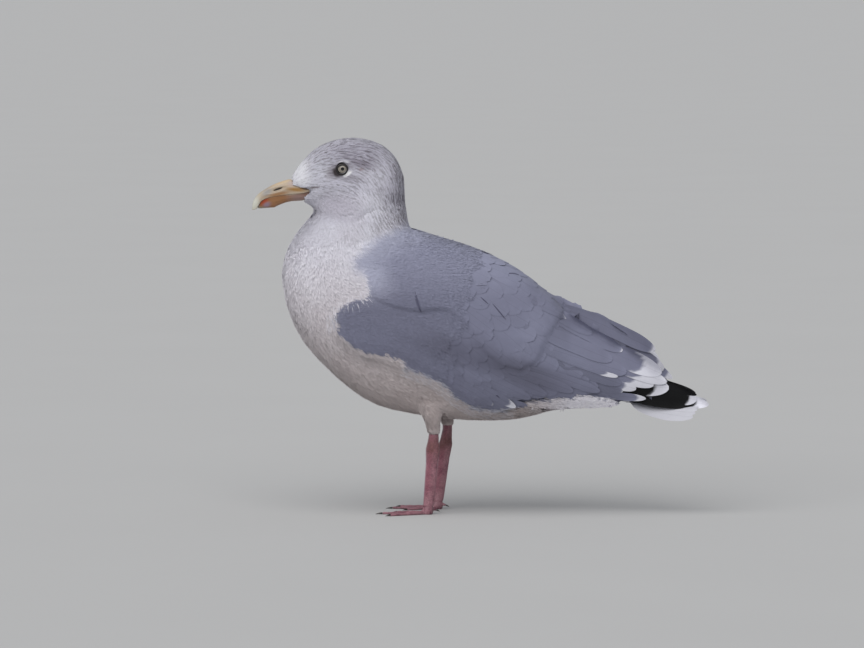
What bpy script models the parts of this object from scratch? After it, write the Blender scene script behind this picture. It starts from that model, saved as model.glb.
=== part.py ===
"""A standing adult herring gull in winter plumage, life size, as a still museum model.

Blender 4.5 script, in metres, +Z up. The bill points along -X and the bird's left side is -Y.
The origin is on the floor, under the middle of the whole bird. Sizes below are in millimetres.
"""

import math

import bmesh
import bpy
import numpy as np
from mathutils import Matrix, Vector

MM = 0.001  # one millimetre in scene units

# Driving sizes of the whole bird
BILL_TIP_X = -255.5
CROWN_Z = 424.0
BREAST_X = -222.0
TAIL_END_X = 250.0
WING_TIP_X = 255.5

# Clearances
GAP = 0.35  # between solids that meet
SKIN_GAP = 0.6  # between the trunk's faceted skin and what lies on it
CUT = 0.5  # width of the thin cuts that part the body

# The thin cuts, each as its front and back end (x, z) in the side view
HEAD_CUT = ((-187.0, 337.0), (-81.0, 349.0))
NECK_CUT = ((-214.0, 303.0), (-78.0, 322.0))

# The feathered body's smooth surface
BODY_VOXEL = 3.2
BODY_SOFTENING = 7  # rounds of smoothing
BODY_LIGHTNESS = 0.033  # part of the fine faces that is kept
TRUNK_SQUARENESS = 2.15  # 2 is an ellipse
HEAD_SQUARENESS = 2.1

# Trunk: x, back height, belly height, half width, height of the widest level
TRUNK = (
    (BREAST_X, 270, 266, 3, 268),
    (-219, 286, 246, 21, 266),
    (-211, 301, 219, 35, 260),
    (-198, 312, 194, 47, 252),
    (-176, 319, 168.5, 57, 242),
    (-148, 322, 142.5, 62.5, 232),
    (-115, 323, 121.5, 64.5, 224),
    (-80, 319, 113, 65, 218),
    (-42, 305.5, 107, 64, 210),
    (0, 291, 103.5, 61, 200),
    (45, 267, 106, 55, 188),
    (88, 228, 116.6, 45, 172),
    (125, 190, 119.5, 37, 156),
    (150, 168, 123.8, 30, 147),
    (170, 152, 121.5, 26, 138),
    (188, 138, 121, 21, 130),
)

# Neck: height, front x, back x, half width
NECK = (
    (392, -170, -92, 22),
    (372, -180, -84.5, 27),
    (352, -183, -82, 31),
    (337, -187, -81, 35),
    (325, -198, -79, 40.5),
    (312, -208, -74, 46.5),
    (295, -217, -66, 53),
    (272, -221.5, -60, 57),
    (250, -218, -64, 56),
)

# Head: x, crown height, throat height, half width, height of the cheeks
HEAD = (
    (-215, 374, 359, 7, 364),
    (-208, 384.5, 357, 10.5, 367),
    (-200, 396, 351.5, 14, 369),
    (-182, 413, 343.5, 20, 373),
    (-165, 420.5, 336.5, 24.5, 374),
    (-142, CROWN_Z, 333, 28, 373),
    (-120, 420.5, 333, 29.5, 372),
    (-104, 412.5, 336, 28, 371),
    (-92, 399, 342, 23.5, 369),
    (-84, 380, 350, 12, 364),
)

# Wing hull, seen from outside: x, ridge height, half width, widest level, low edge, inner edge y
WING = (
    (-162, 236, 62, 224, 205, 54),
    (-152, 262, 66.5, 226, 192, 43),
    (-135, 288, 69.5, 226, 181, 32),
    (-112, 309, 71.5, 224, 176, 21),
    (-78, 321, 72.5, 218, 160, 10),
    (-42, 311, 72, 210, 137, 3),
    (0, 297.5, 69.5, 200, 113, 1.5),
    (45, 276, 64, 186, 121, 1.0),
    (88, 238.5, 56, 172, 118, 1.0),
    (104, 219, 52, 166, 117.5, 1.0),
    (140, 198, 43, 156, 121, 1.0),
    (178, 177, 33, 148, 127, 1.0),
    (202, 160.5, 24.5, 142, 129, 1.0),
    (214, 149, 17, 141, 134, 1.0),
)
WING_DEPTH = 14.0  # how far the wing solid reaches in from its outer face
BELLY_Z = 104.0  # level down to which the wing's outer face would round under the body
# The right wing's tertials ride higher than the left's: x, lift
RIGHT_LIFT = ((80, 0), (96, 7), (106, 17), (140, 24), (178, 17), (202, 12), (214, 4))

# Wing tips (primaries): x, middle height, blade half height, distance from the middle plane
WING_TIP = (
    (154, 142, 12, 31),
    (178, 139, 15.5, 26),
    (206, 136.5, 17.5, 19),
    (228, 131, 13.5, 13.5),
    (244, 126, 9, 10),
    (WING_TIP_X, 123.5, 3.5, 7.5),
)
WING_TIP_THICK = 3.4
WING_TIP_GAP = 0.9  # clearance to the wing, whose end has sharp edges
WING_TIP_LEAN = 0.35  # how far each blade's top leans in, for its height
WING_TIP_BOW = 0.12  # how far its middle bows out, for its height

# Tail: x, middle height, half width, droop of its sides
TAIL = (
    (150, 141, 22, 4),
    (166, 136, 25, 9),
    (186, 130, 29, 18),
    (204, 124.5, 32, 18.5),
    (226, 121.5, 34, 16),
    (TAIL_END_X - 8, 119, 34.5, 11.5),
)
TAIL_THICK = 3.6
TAIL_ROUNDING = 8.0  # how far the tail's middle reaches past its corners
TAIL_EDGE_THINNING = 0.6  # part of the thickness that is lost at the tail's sides

# Bill: x, culmen height, upper half width
UPPER_BILL = (
    (-184, 367.5, 12.5),
    (-192, 368.5, 11.5),
    (-203, 373, 9.6),
    (-212, 376.7, 8.2),
    (-224, 373.5, 7.2),
    (-234, 369.3, 6.3),
    (-242, 364.6, 5.6),
    (-248.6, 359.8, 5.0),
    (-252.4, 355.0, 4.4),
    (-254.9, 349.4, 3.6),
    (-255.4, 346.0, 2.9),
    (BILL_TIP_X, 343.6, 2.0),
)
# The mouth line: x, height
MOUTH = (
    (-184, 365.4),
    (-198, 361.6),
    (-214, 360),
    (-236, 356.5),
    (-243.6, 353.4),
    (-247.6, 349.4),
    (-249.6, 344.4),
    (-252.0, 342.8),
    (BILL_TIP_X, 342.3),
)
# Lower bill: x, keel height, half width
LOWER_BILL = (
    (-186, 361.5, 11.5),
    (-197, 352.6, 9.6),
    (-212, 351.6, 7.6),
    (-224, 347.8, 6.6),
    (-232, 344.4, 6.0),
    (-239, 344.2, 5.2),
    (-243.5, 343.7, 4.4),
    (-247.0, 343.6, 3.2),
    (-249.0, 344.0, 1.9),
)
# Side view of the bare wedge that the face feathers leave open round the gape
GAPE_WEDGE = (
    (-262, 384),
    (-212.5, 376.5),
    (-210.5, 369.5),
    (-198, 367.4),
    (-186, 366.6),
    (-185, 365),
    (-197, 357.5),
    (-197.5, 346),
    (-262, 338),
)
WEDGE_INNER_Y = 3.0  # the feathers between the two wedges stay, along the ridge and the chin
WEDGE_OUTER_Y = 40.0
MOUTH_GAP = 0.7  # clearance between the two halves of the closed bill

# Eyes
EYE = Vector((-153, 17.0, 389.2))  # centre of an eyeball, with y taken outwards
EYE_RADIUS = 9.0
EYE_SIDES = 14

# Legs: the line of each leg at the hem of the feathers, the heel joint and the ankle
STANCE = 29.0  # half the distance between the feet
LEG_X = {"left": (-50.5, -51.6, -56.5), "right": (-35.0, -37.2, -45.5)}
THIGH_TOP_Z = 128.0
HEM_Z = 91.5
RIGHT_HEM_Z = 97.0  # the right leg's feathers end higher
HEEL_Z = 74.0
ANKLE_Z = 9.5
# Bare leg from its top down: height as a part of the way from ankle to hem, half depth, half width
SHANK = (
    (1.0, 5.5, 4.8),
    (0.88, 6.4, 4.9),
    (0.79, 7.9, 5.6),
    (0.71, 7.5, 5.2),
    (0.6, 6.8, 3.9),
    (0.3, 6.5, 3.5),
    (0.1, 6.2, 3.9),
    (0.0, 5.9, 4.6),
)
# Feathered thigh from its top down: height as a part of the way from hem to top, half depth, half width
THIGH = (
    (1.0, 16, 15),
    (0.6, 11.6, 13),
    (0.42, 8.8, 10.5),
    (0.3, 7.2, 8.8),
    (0.12, 6.4, 7.4),
    (0.0, 6.0, 6.2),
)

THIGH_LEAN = 4.0  # how far forward the thigh's top lies

# Toes: name, length to the claw, width at the base, angle off straight ahead, claw length
TOES = (
    ("outer", 46.0, 6.2, 27.0, 6.5),
    ("middle", 50.0, 6.6, 1.0, 8.0),
    ("inner", 37.0, 5.8, -26.0, 6.5),
)
TOE_TAPER = 0.52  # width of a toe's end for its base
TOE_HEIGHT = 0.86  # height of a toe for its width
SOLE_SINK = 0.16  # part of a toe's height that its flat sole takes off
KNUCKLE = 0.07  # swelling of a toe at its joints, for its width
CLAW_DROP = 0.9  # how far a claw's tip bends down
CLAW_TAPER = 0.84  # part of its thickness that a claw loses by its tip
HALLUX_LENGTH = 8.5
HALLUX_WIDTH = 3.4
HALLUX_CLAW = 4.2
HALLUX_Z = 6.6
HALLUX_IN = 20.0  # its angle in from straight back, in degrees
HALLUX_SLOPE = 0.24  # fall of the hind toe for its length
ANKLE_DEPTH = 6.4  # half depth of the foot under the ankle
ANKLE_WIDTH = 5.5
TOE_ROOT = 1.5  # how far in front of the ankle the toes meet
WEB_LOW_Z = 0.9
WEB_THICK = 1.2
WEB_HOLLOW = 0.86  # distance of the free edge's middle from the ankle, for a straight edge's
WEB_END = 0.97  # where along the toes the web's free edge starts
SIDES = (("left", -1), ("right", 1))  # each side's name and the sign of its y


def smooth(stations, column):
    """A smooth function of the stations' first value, through the values of one column.

    It never overshoots its stations, so a station is always the widest or highest near it.
    """
    rows = sorted(stations)
    x = np.array([row[0] for row in rows], float)
    y = np.array([row[column] for row in rows], float)
    step = np.diff(x)
    slope = np.diff(y) / step
    tangent = np.empty_like(y)
    tangent[0], tangent[-1] = slope[0], slope[-1]
    for i in range(1, len(x) - 1):
        same_way = slope[i - 1] * slope[i] > 0
        tangent[i] = 2 * slope[i - 1] * slope[i] / (slope[i - 1] + slope[i]) if same_way else 0.0

    def value(at):
        """The curve's value at a place along the stations."""
        at = min(max(at, x[0]), x[-1])
        i = min(int(np.searchsorted(x, at, side="right")) - 1, len(step) - 1)
        t = (at - x[i]) / step[i]
        rise = (2 * t**3 - 3 * t**2 + 1) * y[i] + (3 * t**2 - 2 * t**3) * y[i + 1]
        turn = (t**3 - 2 * t**2 + t) * tangent[i] + (t**3 - t**2) * tangent[i + 1]
        return float(rise + step[i] * turn)

    return value


def spaced(low, high, count, ends=1.0):
    """Values from low to high, closer together at the two ends when ends is above 1."""
    t = np.linspace(-1, 1, count)
    t = np.sign(t) * (1 - (1 - np.abs(t)) ** ends)
    return low + (high - low) * (t + 1) / 2


def power(value, exponent):
    """The value's size to a power, with the value's own sign."""
    return math.copysign(abs(value) ** exponent, value)


def material(name, colour, roughness):
    """A plain material, with no metal."""
    made = bpy.data.materials.new(name)
    made.use_nodes = True
    shader = made.node_tree.nodes["Principled BSDF"]
    shader.inputs["Base Color"].default_value = (*colour, 1)
    shader.inputs["Roughness"].default_value = roughness
    shader.inputs["Metallic"].default_value = 0.0
    return made


def add(name, bm, finish=None):
    """Makes an object of a bmesh that is in millimetres. One without a finish is a helper."""
    bmesh.ops.recalc_face_normals(bm, faces=bm.faces)
    if bm.calc_volume(signed=True) < 0:
        bmesh.ops.reverse_faces(bm, faces=bm.faces)
    bmesh.ops.scale(bm, vec=(MM, MM, MM), verts=bm.verts)
    mesh = bpy.data.meshes.new(name)
    bm.to_mesh(mesh)
    bm.free()
    made = bpy.data.objects.new(name, mesh)
    bpy.context.scene.collection.objects.link(made)
    if finish:
        mesh.materials.append(finish)
        mesh.shade_smooth()
    else:
        made.hide_render = True
        made.display_type = "WIRE"
    return made


def loft(rings):
    """A closed body through rings of equally many points, with a fan on each end."""
    bm = bmesh.new()
    rows = [[bm.verts.new(point) for point in ring] for ring in rings]
    count = len(rows[0])
    for a, b in zip(rows, rows[1:]):
        for i in range(count):
            j = (i + 1) % count
            bm.faces.new((a[i], a[j], b[j], b[i]))
    for row in (rows[0], rows[-1]):
        middle = bm.verts.new(sum((v.co for v in row), Vector()) / count)
        for i in range(count):
            bm.faces.new((row[i], row[(i + 1) % count], middle))
    return bm


def prism(outline, low_y, high_y):
    """A flat outline in the side view, drawn across from low_y to high_y."""
    bm = bmesh.new()
    near = [bm.verts.new((x, low_y, z)) for x, z in outline]
    far = [bm.verts.new((x, high_y, z)) for x, z in outline]
    bm.faces.new(near)
    bm.faces.new(far)
    for i in range(len(outline)):
        j = (i + 1) % len(outline)
        bm.faces.new((near[i], near[j], far[j], far[i]))
    return bm


def egg_section(x, top, bottom, half_width, widest, count, square=2.0):
    """A cross-section in the plane of y and z, widest at its own level."""
    ring = []
    for i in range(count):
        angle = 2 * math.pi * i / count
        across, up = power(math.cos(angle), 2 / square), power(math.sin(angle), 2 / square)
        reach = top - widest if up > 0 else widest - bottom
        ring.append((x, half_width * across, widest + reach * up))
    return ring


def body_loft(stations, count, rings, square):
    """A loft along x through the stations (x, top, bottom, half width, widest level)."""
    top, bottom, wide, level = (smooth(stations, column) for column in (1, 2, 3, 4))
    xs = spaced(stations[0][0], stations[-1][0], rings, 1.35)
    return loft(
        [egg_section(x, top(x), bottom(x), wide(x), level(x), count, square) for x in xs]
    )


def neck_loft(count=28, rings=12):
    """A loft down the neck, whose sections are level."""
    front, back, wide = (smooth(NECK, column) for column in (1, 2, 3))
    sections = []
    for z in np.linspace(NECK[0][0], NECK[-1][0], rings):
        middle, reach = (front(z) + back(z)) / 2, (back(z) - front(z)) / 2
        ring = []
        for i in range(count):
            angle = 2 * math.pi * i / count
            ring.append((middle + reach * math.cos(angle), wide(z) * math.sin(angle), z))
        sections.append(ring)
    return loft(sections)


def modify(obj, kind, name, **settings):
    """Adds a modifier with these settings."""
    made = obj.modifiers.new(name, kind)
    for key, value in settings.items():
        setattr(made, key, value)
    return made


def boolean(obj, operation, other):
    """Adds an exact Boolean of the object with another."""
    return modify(obj, "BOOLEAN", f"{operation} {other.name}", operation=operation,
                  object=other, solver="EXACT")


def bake(obj):
    """Applies an object's modifiers and returns the object."""
    graph = bpy.context.evaluated_depsgraph_get()
    old = obj.data
    obj.data = bpy.data.meshes.new_from_object(obj.evaluated_get(graph))
    obj.modifiers.clear()
    bpy.data.meshes.remove(old)
    return obj


def copy_of(obj, name, finish=None):
    """A separate copy of an object, a helper unless it gets a finish."""
    made = obj.copy()
    made.data = obj.data.copy()
    made.name = made.data.name = name
    bpy.context.scene.collection.objects.link(made)
    made.hide_render = finish is None
    made.display_type = "WIRE" if finish is None else "TEXTURED"
    if finish:
        made.data.materials.clear()
        made.data.materials.append(finish)
        made.data.shade_smooth()
    return made


def inflated(obj, by):
    """A helper: the object grown by a clearance, for cutting its neighbour."""
    made = copy_of(obj, f"{obj.name}_grown_{by}")
    modify(made, "DISPLACE", "grow", strength=by * MM, mid_level=0.0)
    return bake(made)


def whole_body():
    """A helper: the feathered head, neck and trunk in one smooth piece, before it is parted."""
    bm = body_loft(TRUNK, 32, 30, TRUNK_SQUARENESS)
    for other in (neck_loft(), body_loft(HEAD, 28, 20, HEAD_SQUARENESS)):
        mesh = bpy.data.meshes.new("joined")
        other.to_mesh(mesh)
        other.free()
        bm.from_mesh(mesh)
        bpy.data.meshes.remove(mesh)
    body = add("body", bm)
    modify(body, "REMESH", "one skin", mode="VOXEL", voxel_size=BODY_VOXEL * MM)
    modify(body, "SMOOTH", "soften", factor=0.5, iterations=BODY_SOFTENING)
    modify(body, "DECIMATE", "lighten", ratio=BODY_LIGHTNESS)
    return bake(body)


def slab(cut, side, lower=0.0, size=400.0):
    """A big block above (side 1) or below (side -1) a cut of the side view, lowered by lower."""
    (x0, z0), (x1, z1) = cut
    along = Vector((x1 - x0, 0, z1 - z0)).normalized()
    across = Vector((-along.z, 0, along.x)) * side
    middle = Vector(((x0 + x1) / 2, 0, (z0 + z1) / 2 - lower))
    bm = bmesh.new()
    for u in (-size, size):
        for v in (0.0, size):
            for w in (-size, size):
                bm.verts.new(middle + along * u + across * v + Vector((0, w, 0)))
    bmesh.ops.convex_hull(bm, input=bm.verts)
    return add("slab", bm)


def part_body(body, feathers):
    """Parts the whole body with thin cuts into head, neck and trunk."""
    head = copy_of(body, "head", feathers)
    boolean(head, "INTERSECT", slab(HEAD_CUT, 1))
    neck = copy_of(body, "neck", feathers)
    boolean(neck, "INTERSECT", slab(HEAD_CUT, -1, CUT))
    boolean(neck, "INTERSECT", slab(NECK_CUT, 1))
    trunk = copy_of(body, "trunk", feathers)
    boolean(trunk, "INTERSECT", slab(NECK_CUT, -1, CUT))
    for piece in (head, neck, trunk):
        bake(piece)
    return head, trunk


def bill_ring(x, ridge, mouth, wide, count, roundness):
    """A bill section: flat along the mouth line and rounded over its ridge or keel."""
    ring = []
    for i in range(count):
        t = i / (count - 1)
        angle = math.pi * t
        across = wide * power(math.cos(angle), 0.8)
        rise = (ridge - mouth) * math.sin(angle) ** roundness
        ring.append((x, across, mouth + rise))
    return ring


def bill(horn):
    """The two halves of the closed bill, with a clearance along the mouth line."""
    mouth = smooth(MOUTH, 1)
    culmen, upper_wide = smooth(UPPER_BILL, 1), smooth(UPPER_BILL, 2)
    keel, lower_wide = smooth(LOWER_BILL, 1), smooth(LOWER_BILL, 2)
    rings = []
    for x in spaced(UPPER_BILL[0][0], BILL_TIP_X, 25, 1.6):
        rings.append(bill_ring(x, culmen(x), mouth(x), upper_wide(x), 11, 0.8))
    upper = add("bill_upper", loft(rings), horn)
    rings = []
    for x in spaced(LOWER_BILL[0][0], LOWER_BILL[-1][0], 13, 1.3):
        low, high = keel(x), mouth(x) - MOUTH_GAP
        rings.append(bill_ring(x, low, high, lower_wide(x), 9, 0.75))
    return upper, add("bill_lower", loft(rings), horn)


def open_gape(head, upper, lower):
    """Clears the face feathers off the bare part of the bill and seats the bill in the head."""
    for _, sign in SIDES:
        wedge = prism(GAPE_WEDGE, sign * WEDGE_INNER_Y, sign * WEDGE_OUTER_Y)
        boolean(head, "DIFFERENCE", add("gape_wedge", wedge))
    for piece in (upper, lower):
        boolean(head, "DIFFERENCE", inflated(piece, GAP))
    bake(head)


def eyes(head, finish):
    """The two eyeballs, set in sockets of the head."""
    for side, sign in SIDES:
        bm = bmesh.new()
        outwards = Matrix.Rotation(math.pi / 2, 4, "X")
        place = Matrix.Translation((EYE.x, sign * EYE.y, EYE.z)) @ outwards
        bmesh.ops.create_uvsphere(bm, u_segments=EYE_SIDES, v_segments=EYE_SIDES // 2,
                                  radius=EYE_RADIUS, matrix=place)
        ball = add(f"eye_{side}", bm, finish)
        boolean(head, "DIFFERENCE", inflated(ball, GAP))
    bake(head)


def wing_ring(x, ridge, wide, level, low, inner, sign, lift, count=10):
    """A closed crescent: the wing's outer face from its ridge to its low edge, and back inside."""
    start = math.acos(min(1.0, inner / wide))
    keel_reach = level - BELLY_Z
    ridge_reach = (ridge - level) / math.sin(start)
    stop = -math.asin(min(1.0, (level - low) / keel_reach))
    outside, inside = [], []
    for i in range(count):
        angle = start + (stop - start) * i / (count - 1)
        across, up = math.cos(angle), math.sin(angle)
        reach = ridge_reach if up > 0 else keel_reach
        shrunk = reach * max(0.4, 1 - WING_DEPTH / reach)
        raised = lift * max(0.0, up)
        outside.append((x, sign * wide * across, level + reach * up + raised))
        deep_y = max(inner, (wide - WING_DEPTH) * across)
        inside.append((x, sign * deep_y, level + shrunk * up + raised))
    return outside + inside[::-1]


def wings(blockers, finish):
    """The folded wings with their scapulars, laid over the trunk and the tail."""
    columns = [smooth(WING, column) for column in range(1, 6)]
    lift = smooth(RIGHT_LIFT, 1)
    for side, sign in SIDES:
        rings = []
        for x in spaced(WING[0][0], WING[-1][0], 20, 1.15):
            raised = lift(x) if side == "right" else 0.0
            rings.append(wing_ring(x, *(column(x) for column in columns), sign, raised))
        wing = add(f"wing_{side}", loft(rings), finish)
        for blocker in blockers:
            boolean(wing, "DIFFERENCE", blocker)
            bake(wing)


def tail_body(name, spare, finish=None):
    """The spread tail: an arched plate whose sides droop and whose end is rounded."""
    middle, wide, droop = (smooth(TAIL, column) for column in (1, 2, 3))
    count = 11
    rings = []
    for x in np.linspace(TAIL[0][0], TAIL[-1][0] + spare, 9):
        top, low = [], []
        for i in range(count):
            t = 2 * i / (count - 1) - 1
            grown = (x - TAIL[0][0]) / (TAIL[-1][0] - TAIL[0][0])
            reach = x + TAIL_ROUNDING * (1 - t * t) * grown
            height = middle(x) - droop(x) * t * t
            half = TAIL_THICK / 2 * (1 - TAIL_EDGE_THINNING * t * t) + spare
            top.append((reach, (wide(x) + spare) * t, height + half))
            low.append((reach, (wide(x) + spare) * t, height - half))
        rings.append(top + low[::-1])
    return add(name, loft(rings), finish)


def tail(trunk_grown, finish):
    """The tail, as far as it shows out of its coverts."""
    made = tail_body("tail", 0.0, finish)
    boolean(made, "DIFFERENCE", trunk_grown)
    return bake(made)


def blade_body(name, sign, finish=None):
    """One folded wing tip, which narrows towards the back and leans in at its top."""
    middle, half, out = (smooth(WING_TIP, column) for column in (1, 2, 3))
    count = 6
    rings = []
    for x in np.linspace(WING_TIP[0][0], WING_TIP[-1][0], 8):
        outer, inner = [], []
        for i in range(count):
            t = 1 - 2 * i / (count - 1)
            y = out(x) + half(x) * (WING_TIP_BOW * (1 - t * t) - WING_TIP_LEAN * t)
            thick = WING_TIP_THICK / 2 * (1 - 0.5 * t * t)
            z = middle(x) + half(x) * t
            outer.append((x, sign * (y + thick), z))
            inner.append((x, sign * (y - thick), z))
        rings.append(outer + inner[::-1])
    return add(name, loft(rings), finish)


def wing_tips(blockers, finish):
    """The folded wing tips behind the wings and over the tail."""
    for side, sign in SIDES:
        made = blade_body(f"primaries_{side}", sign, finish)
        wing = inflated(bpy.data.objects[f"wing_{side}"], WING_TIP_GAP)
        for blocker in blockers + [wing]:
            boolean(made, "DIFFERENCE", blocker)
            bake(made)


def round_sections(rows, count):
    """Level oval rings from rows of (x, y, z, half depth, half width)."""
    rings = []
    for x, y, z, deep, wide in rows:
        ring = []
        for i in range(count):
            angle = 2 * math.pi * i / count
            ring.append((x + deep * math.cos(angle), y + wide * math.sin(angle), z))
        rings.append(ring)
    return rings


def thighs(trunk_grown, finish):
    """The feathered upper legs, which come out of the belly."""
    for side, sign in SIDES:
        hem_x = LEG_X[side][0]
        hem_z = RIGHT_HEM_Z if side == "right" else HEM_Z
        rows = []
        for rise, deep, wide in THIGH:
            z = hem_z + (THIGH_TOP_Z - hem_z) * rise
            rows.append((hem_x - THIGH_LEAN * rise, sign * (STANCE + rise), z, deep, wide))
        made = add(f"thigh_{side}", loft(round_sections(rows, 14)), finish)
        boolean(made, "DIFFERENCE", trunk_grown)
        bake(made)


def shanks(finish):
    """The bare legs, from the hem of the feathers over the heel joint to the ankle."""
    for side, sign in SIDES:
        hem_x, heel_x, ankle_x = LEG_X[side]
        line = smooth(((ANKLE_Z, ankle_x), (HEEL_Z, heel_x), (HEM_Z, hem_x)), 1)
        low, high = ANKLE_Z + GAP, HEM_Z - GAP
        rows = []
        if side == "right":
            rows.append((hem_x, sign * STANCE, RIGHT_HEM_Z - GAP, *SHANK[0][1:]))
        for part, deep, wide in SHANK:
            z = low + (high - low) * part
            rows.append((line(z), sign * STANCE, z, deep, wide))
        add(f"shank_{side}", loft(round_sections(rows, 12)), finish)


def toe_body(start, direction, length, width, joints):
    """One toe: a tapered round bar with knuckles, flat on the floor."""
    across = Vector((-direction.y, direction.x, 0))
    rings = []
    count = 8
    for i in range(2 * joints + 1):
        t = i / (2 * joints)
        knuckle = 1 + KNUCKLE * math.cos(2 * math.pi * t * joints)
        wide = width * (1 + (TOE_TAPER - 1) * t) * knuckle
        tall = wide * TOE_HEIGHT
        centre = start + direction * length * t
        ring = []
        for k in range(count):
            angle = 2 * math.pi * k / count
            point = centre + across * (wide / 2 * math.cos(angle))
            point.z = max(0.0, tall * (0.5 - SOLE_SINK) + tall / 2 * math.sin(angle))
            ring.append(point)
        rings.append(ring)
    return add("toe", loft(rings))


def claw(name, base, direction, radius, length, horn):
    """A claw: a curved cone whose tip bends down."""
    across = Vector((-direction.y, direction.x, 0)).normalized()
    up = across.cross(direction) * -1
    rings = []
    for t in (0.0, 0.3, 0.65, 1.0):
        centre = base + direction * (length * t) - Vector((0, 0, CLAW_DROP * t * t))
        tall = radius * (1 - CLAW_TAPER * t**1.3)
        wide = 0.8 * tall
        ring = []
        for k in range(6):
            angle = 2 * math.pi * (k + 0.5) / 6
            ring.append(centre + across * wide * math.cos(angle) + up * tall * math.sin(angle))
        rings.append(ring)
    return add(name, loft(rings), horn)


def web_outline(ankle, first, second):
    """The level outline of the web between two toes, with a hollow free edge."""
    a, b = ankle + first, ankle + second
    hollow = ankle + (first + second) / 2 * WEB_HOLLOW
    points = [ankle - (first + second).normalized() * 2, a]
    for i in range(1, 6):
        t = i / 6
        control = hollow * 2 - (a + b) / 2
        points.append(a * (1 - t) ** 2 + control * 2 * t * (1 - t) + b * t**2)
    points.append(b)
    return points


def web(points):
    """A level plate of the web's thickness."""
    bm = bmesh.new()
    low = [bm.verts.new((p.x, p.y, WEB_LOW_Z)) for p in points]
    high = [bm.verts.new((p.x, p.y, WEB_LOW_Z + WEB_THICK)) for p in points]
    bm.faces.new(low)
    bm.faces.new(high)
    for i in range(len(points)):
        j = (i + 1) % len(points)
        bm.faces.new((low[i], low[j], high[j], high[i]))
    return add("web", bm)


def ankle_knob(centre):
    """The root of the toes under the ankle, flat below and above, widest a third of the way up."""
    rows = []
    for t in np.linspace(0, 1, 5):
        swell = math.sqrt(1 - 0.45 * (1.5 * t - 0.5) ** 2)
        x = centre.x - TOE_ROOT * (1 - t)
        rows.append((x, centre.y, ANKLE_Z * t, ANKLE_DEPTH * swell, ANKLE_WIDTH * swell))
    return loft(round_sections(rows, 12))


def hallux(ankle, sign, side, horn):
    """The small hind toe high on the ankle, with its claw."""
    angle = math.radians(HALLUX_IN)
    direction = Vector((math.cos(angle), -sign * math.sin(angle), -HALLUX_SLOPE)).normalized()
    start = ankle + Vector((1.0, 0, HALLUX_Z))
    across = Vector((-direction.y, direction.x, 0)).normalized()
    up = direction.cross(across)
    rings = []
    for t in (0.0, 0.3, 0.65, 1.0):
        centre = start + direction * HALLUX_LENGTH * t
        radius = HALLUX_WIDTH / 2 * (1 - 0.3 * t * t)
        rings.append([
            centre + (across * math.cos(a) + up * math.sin(a)) * radius
            for a in np.linspace(0, 2 * math.pi, 8, endpoint=False)
        ])
    tip = start + direction * (HALLUX_LENGTH + GAP)
    claw(f"claw_{side}_hind", tip, direction, HALLUX_WIDTH / 3, HALLUX_CLAW, horn)
    return add("hallux", loft(rings))


def front_toes(toe_root, sign, side, horn):
    """The three front toes with their claws. Returns the toes and where the web meets each."""
    toes, web_ends = [], {}
    for name, length, width, angle, claw_length in TOES:
        turn = math.radians(angle) * sign
        direction = Vector((-math.cos(turn), math.sin(turn), 0))
        joints = 4 if name == "outer" else 3
        toes.append(toe_body(toe_root, direction, length, width, joints))
        web_ends[name] = direction * length * WEB_END
        end_width = width * TOE_TAPER * (1 + KNUCKLE)
        base = toe_root + direction * (length + GAP)
        base.z = end_width * TOE_HEIGHT * 0.42
        claw(f"claw_{side}_{name}", base, direction, end_width / 3, claw_length, horn)
    return toes, web_ends


def feet(skin, horn):
    """The webbed feet, each one piece, with their claws."""
    for side, sign in SIDES:
        ankle = Vector((LEG_X[side][2], sign * STANCE, 0))
        toe_root = ankle - Vector((TOE_ROOT, 0, 0))
        parts, web_ends = front_toes(toe_root, sign, side, horn)
        for first, second in (("outer", "middle"), ("middle", "inner")):
            parts.append(web(web_outline(toe_root, web_ends[first], web_ends[second])))
        parts.append(hallux(ankle, sign, side, horn))
        foot = add(f"foot_{side}", ankle_knob(ankle), skin)
        for part in parts:
            boolean(foot, "UNION", part)
        bake(foot)


def main():
    """Builds the bird."""
    for obj in list(bpy.data.objects):
        bpy.data.objects.remove(obj)
    white = material("white feathers", (0.80, 0.80, 0.82), 0.85)
    grey = material("grey feathers", (0.27, 0.28, 0.33), 0.8)
    black = material("black feathers", (0.02, 0.02, 0.025), 0.7)
    horn = material("bill horn", (0.75, 0.52, 0.20), 0.4)
    eye = material("eye", (0.75, 0.72, 0.55), 0.1)
    skin = material("leg skin", (0.42, 0.24, 0.26), 0.6)
    nail = material("claw horn", (0.05, 0.04, 0.04), 0.4)
    head, trunk = part_body(whole_body(), white)
    upper, lower = bill(horn)
    open_gape(head, upper, lower)
    eyes(head, eye)
    grown = inflated(trunk, SKIN_GAP)
    tail(grown, white)
    tail_grown = tail_body("tail_grown", GAP)
    wings([grown, tail_grown], grey)
    wing_tips([grown, tail_grown], black)
    thighs(grown, white)
    shanks(skin)
    feet(skin, nail)


main()
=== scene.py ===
"""A standing adult herring gull in winter plumage, life size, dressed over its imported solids.

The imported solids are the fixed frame. One skin, laid inside them by the depth of the plumage,
replaces the flesh. The plumage is thin mesh over that skin: fine tufts on the white body, single
vanes on the back, wings and tail. Bill, eyes, legs and claws are finer meshes in place of theirs.

Lengths are in metres. Places on the bird's side are given in millimetres, as (x, z) with the bill
towards -x and the floor at z = 0, and MM turns them into metres.
"""

import logging
import math
from collections.abc import Callable
from dataclasses import dataclass, field, fields
from enum import Enum
from itertools import product

import bmesh
import bpy
import numpy as np
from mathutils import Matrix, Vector
from mathutils.bvhtree import BVHTree
from mathutils.kdtree import KDTree

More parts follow.
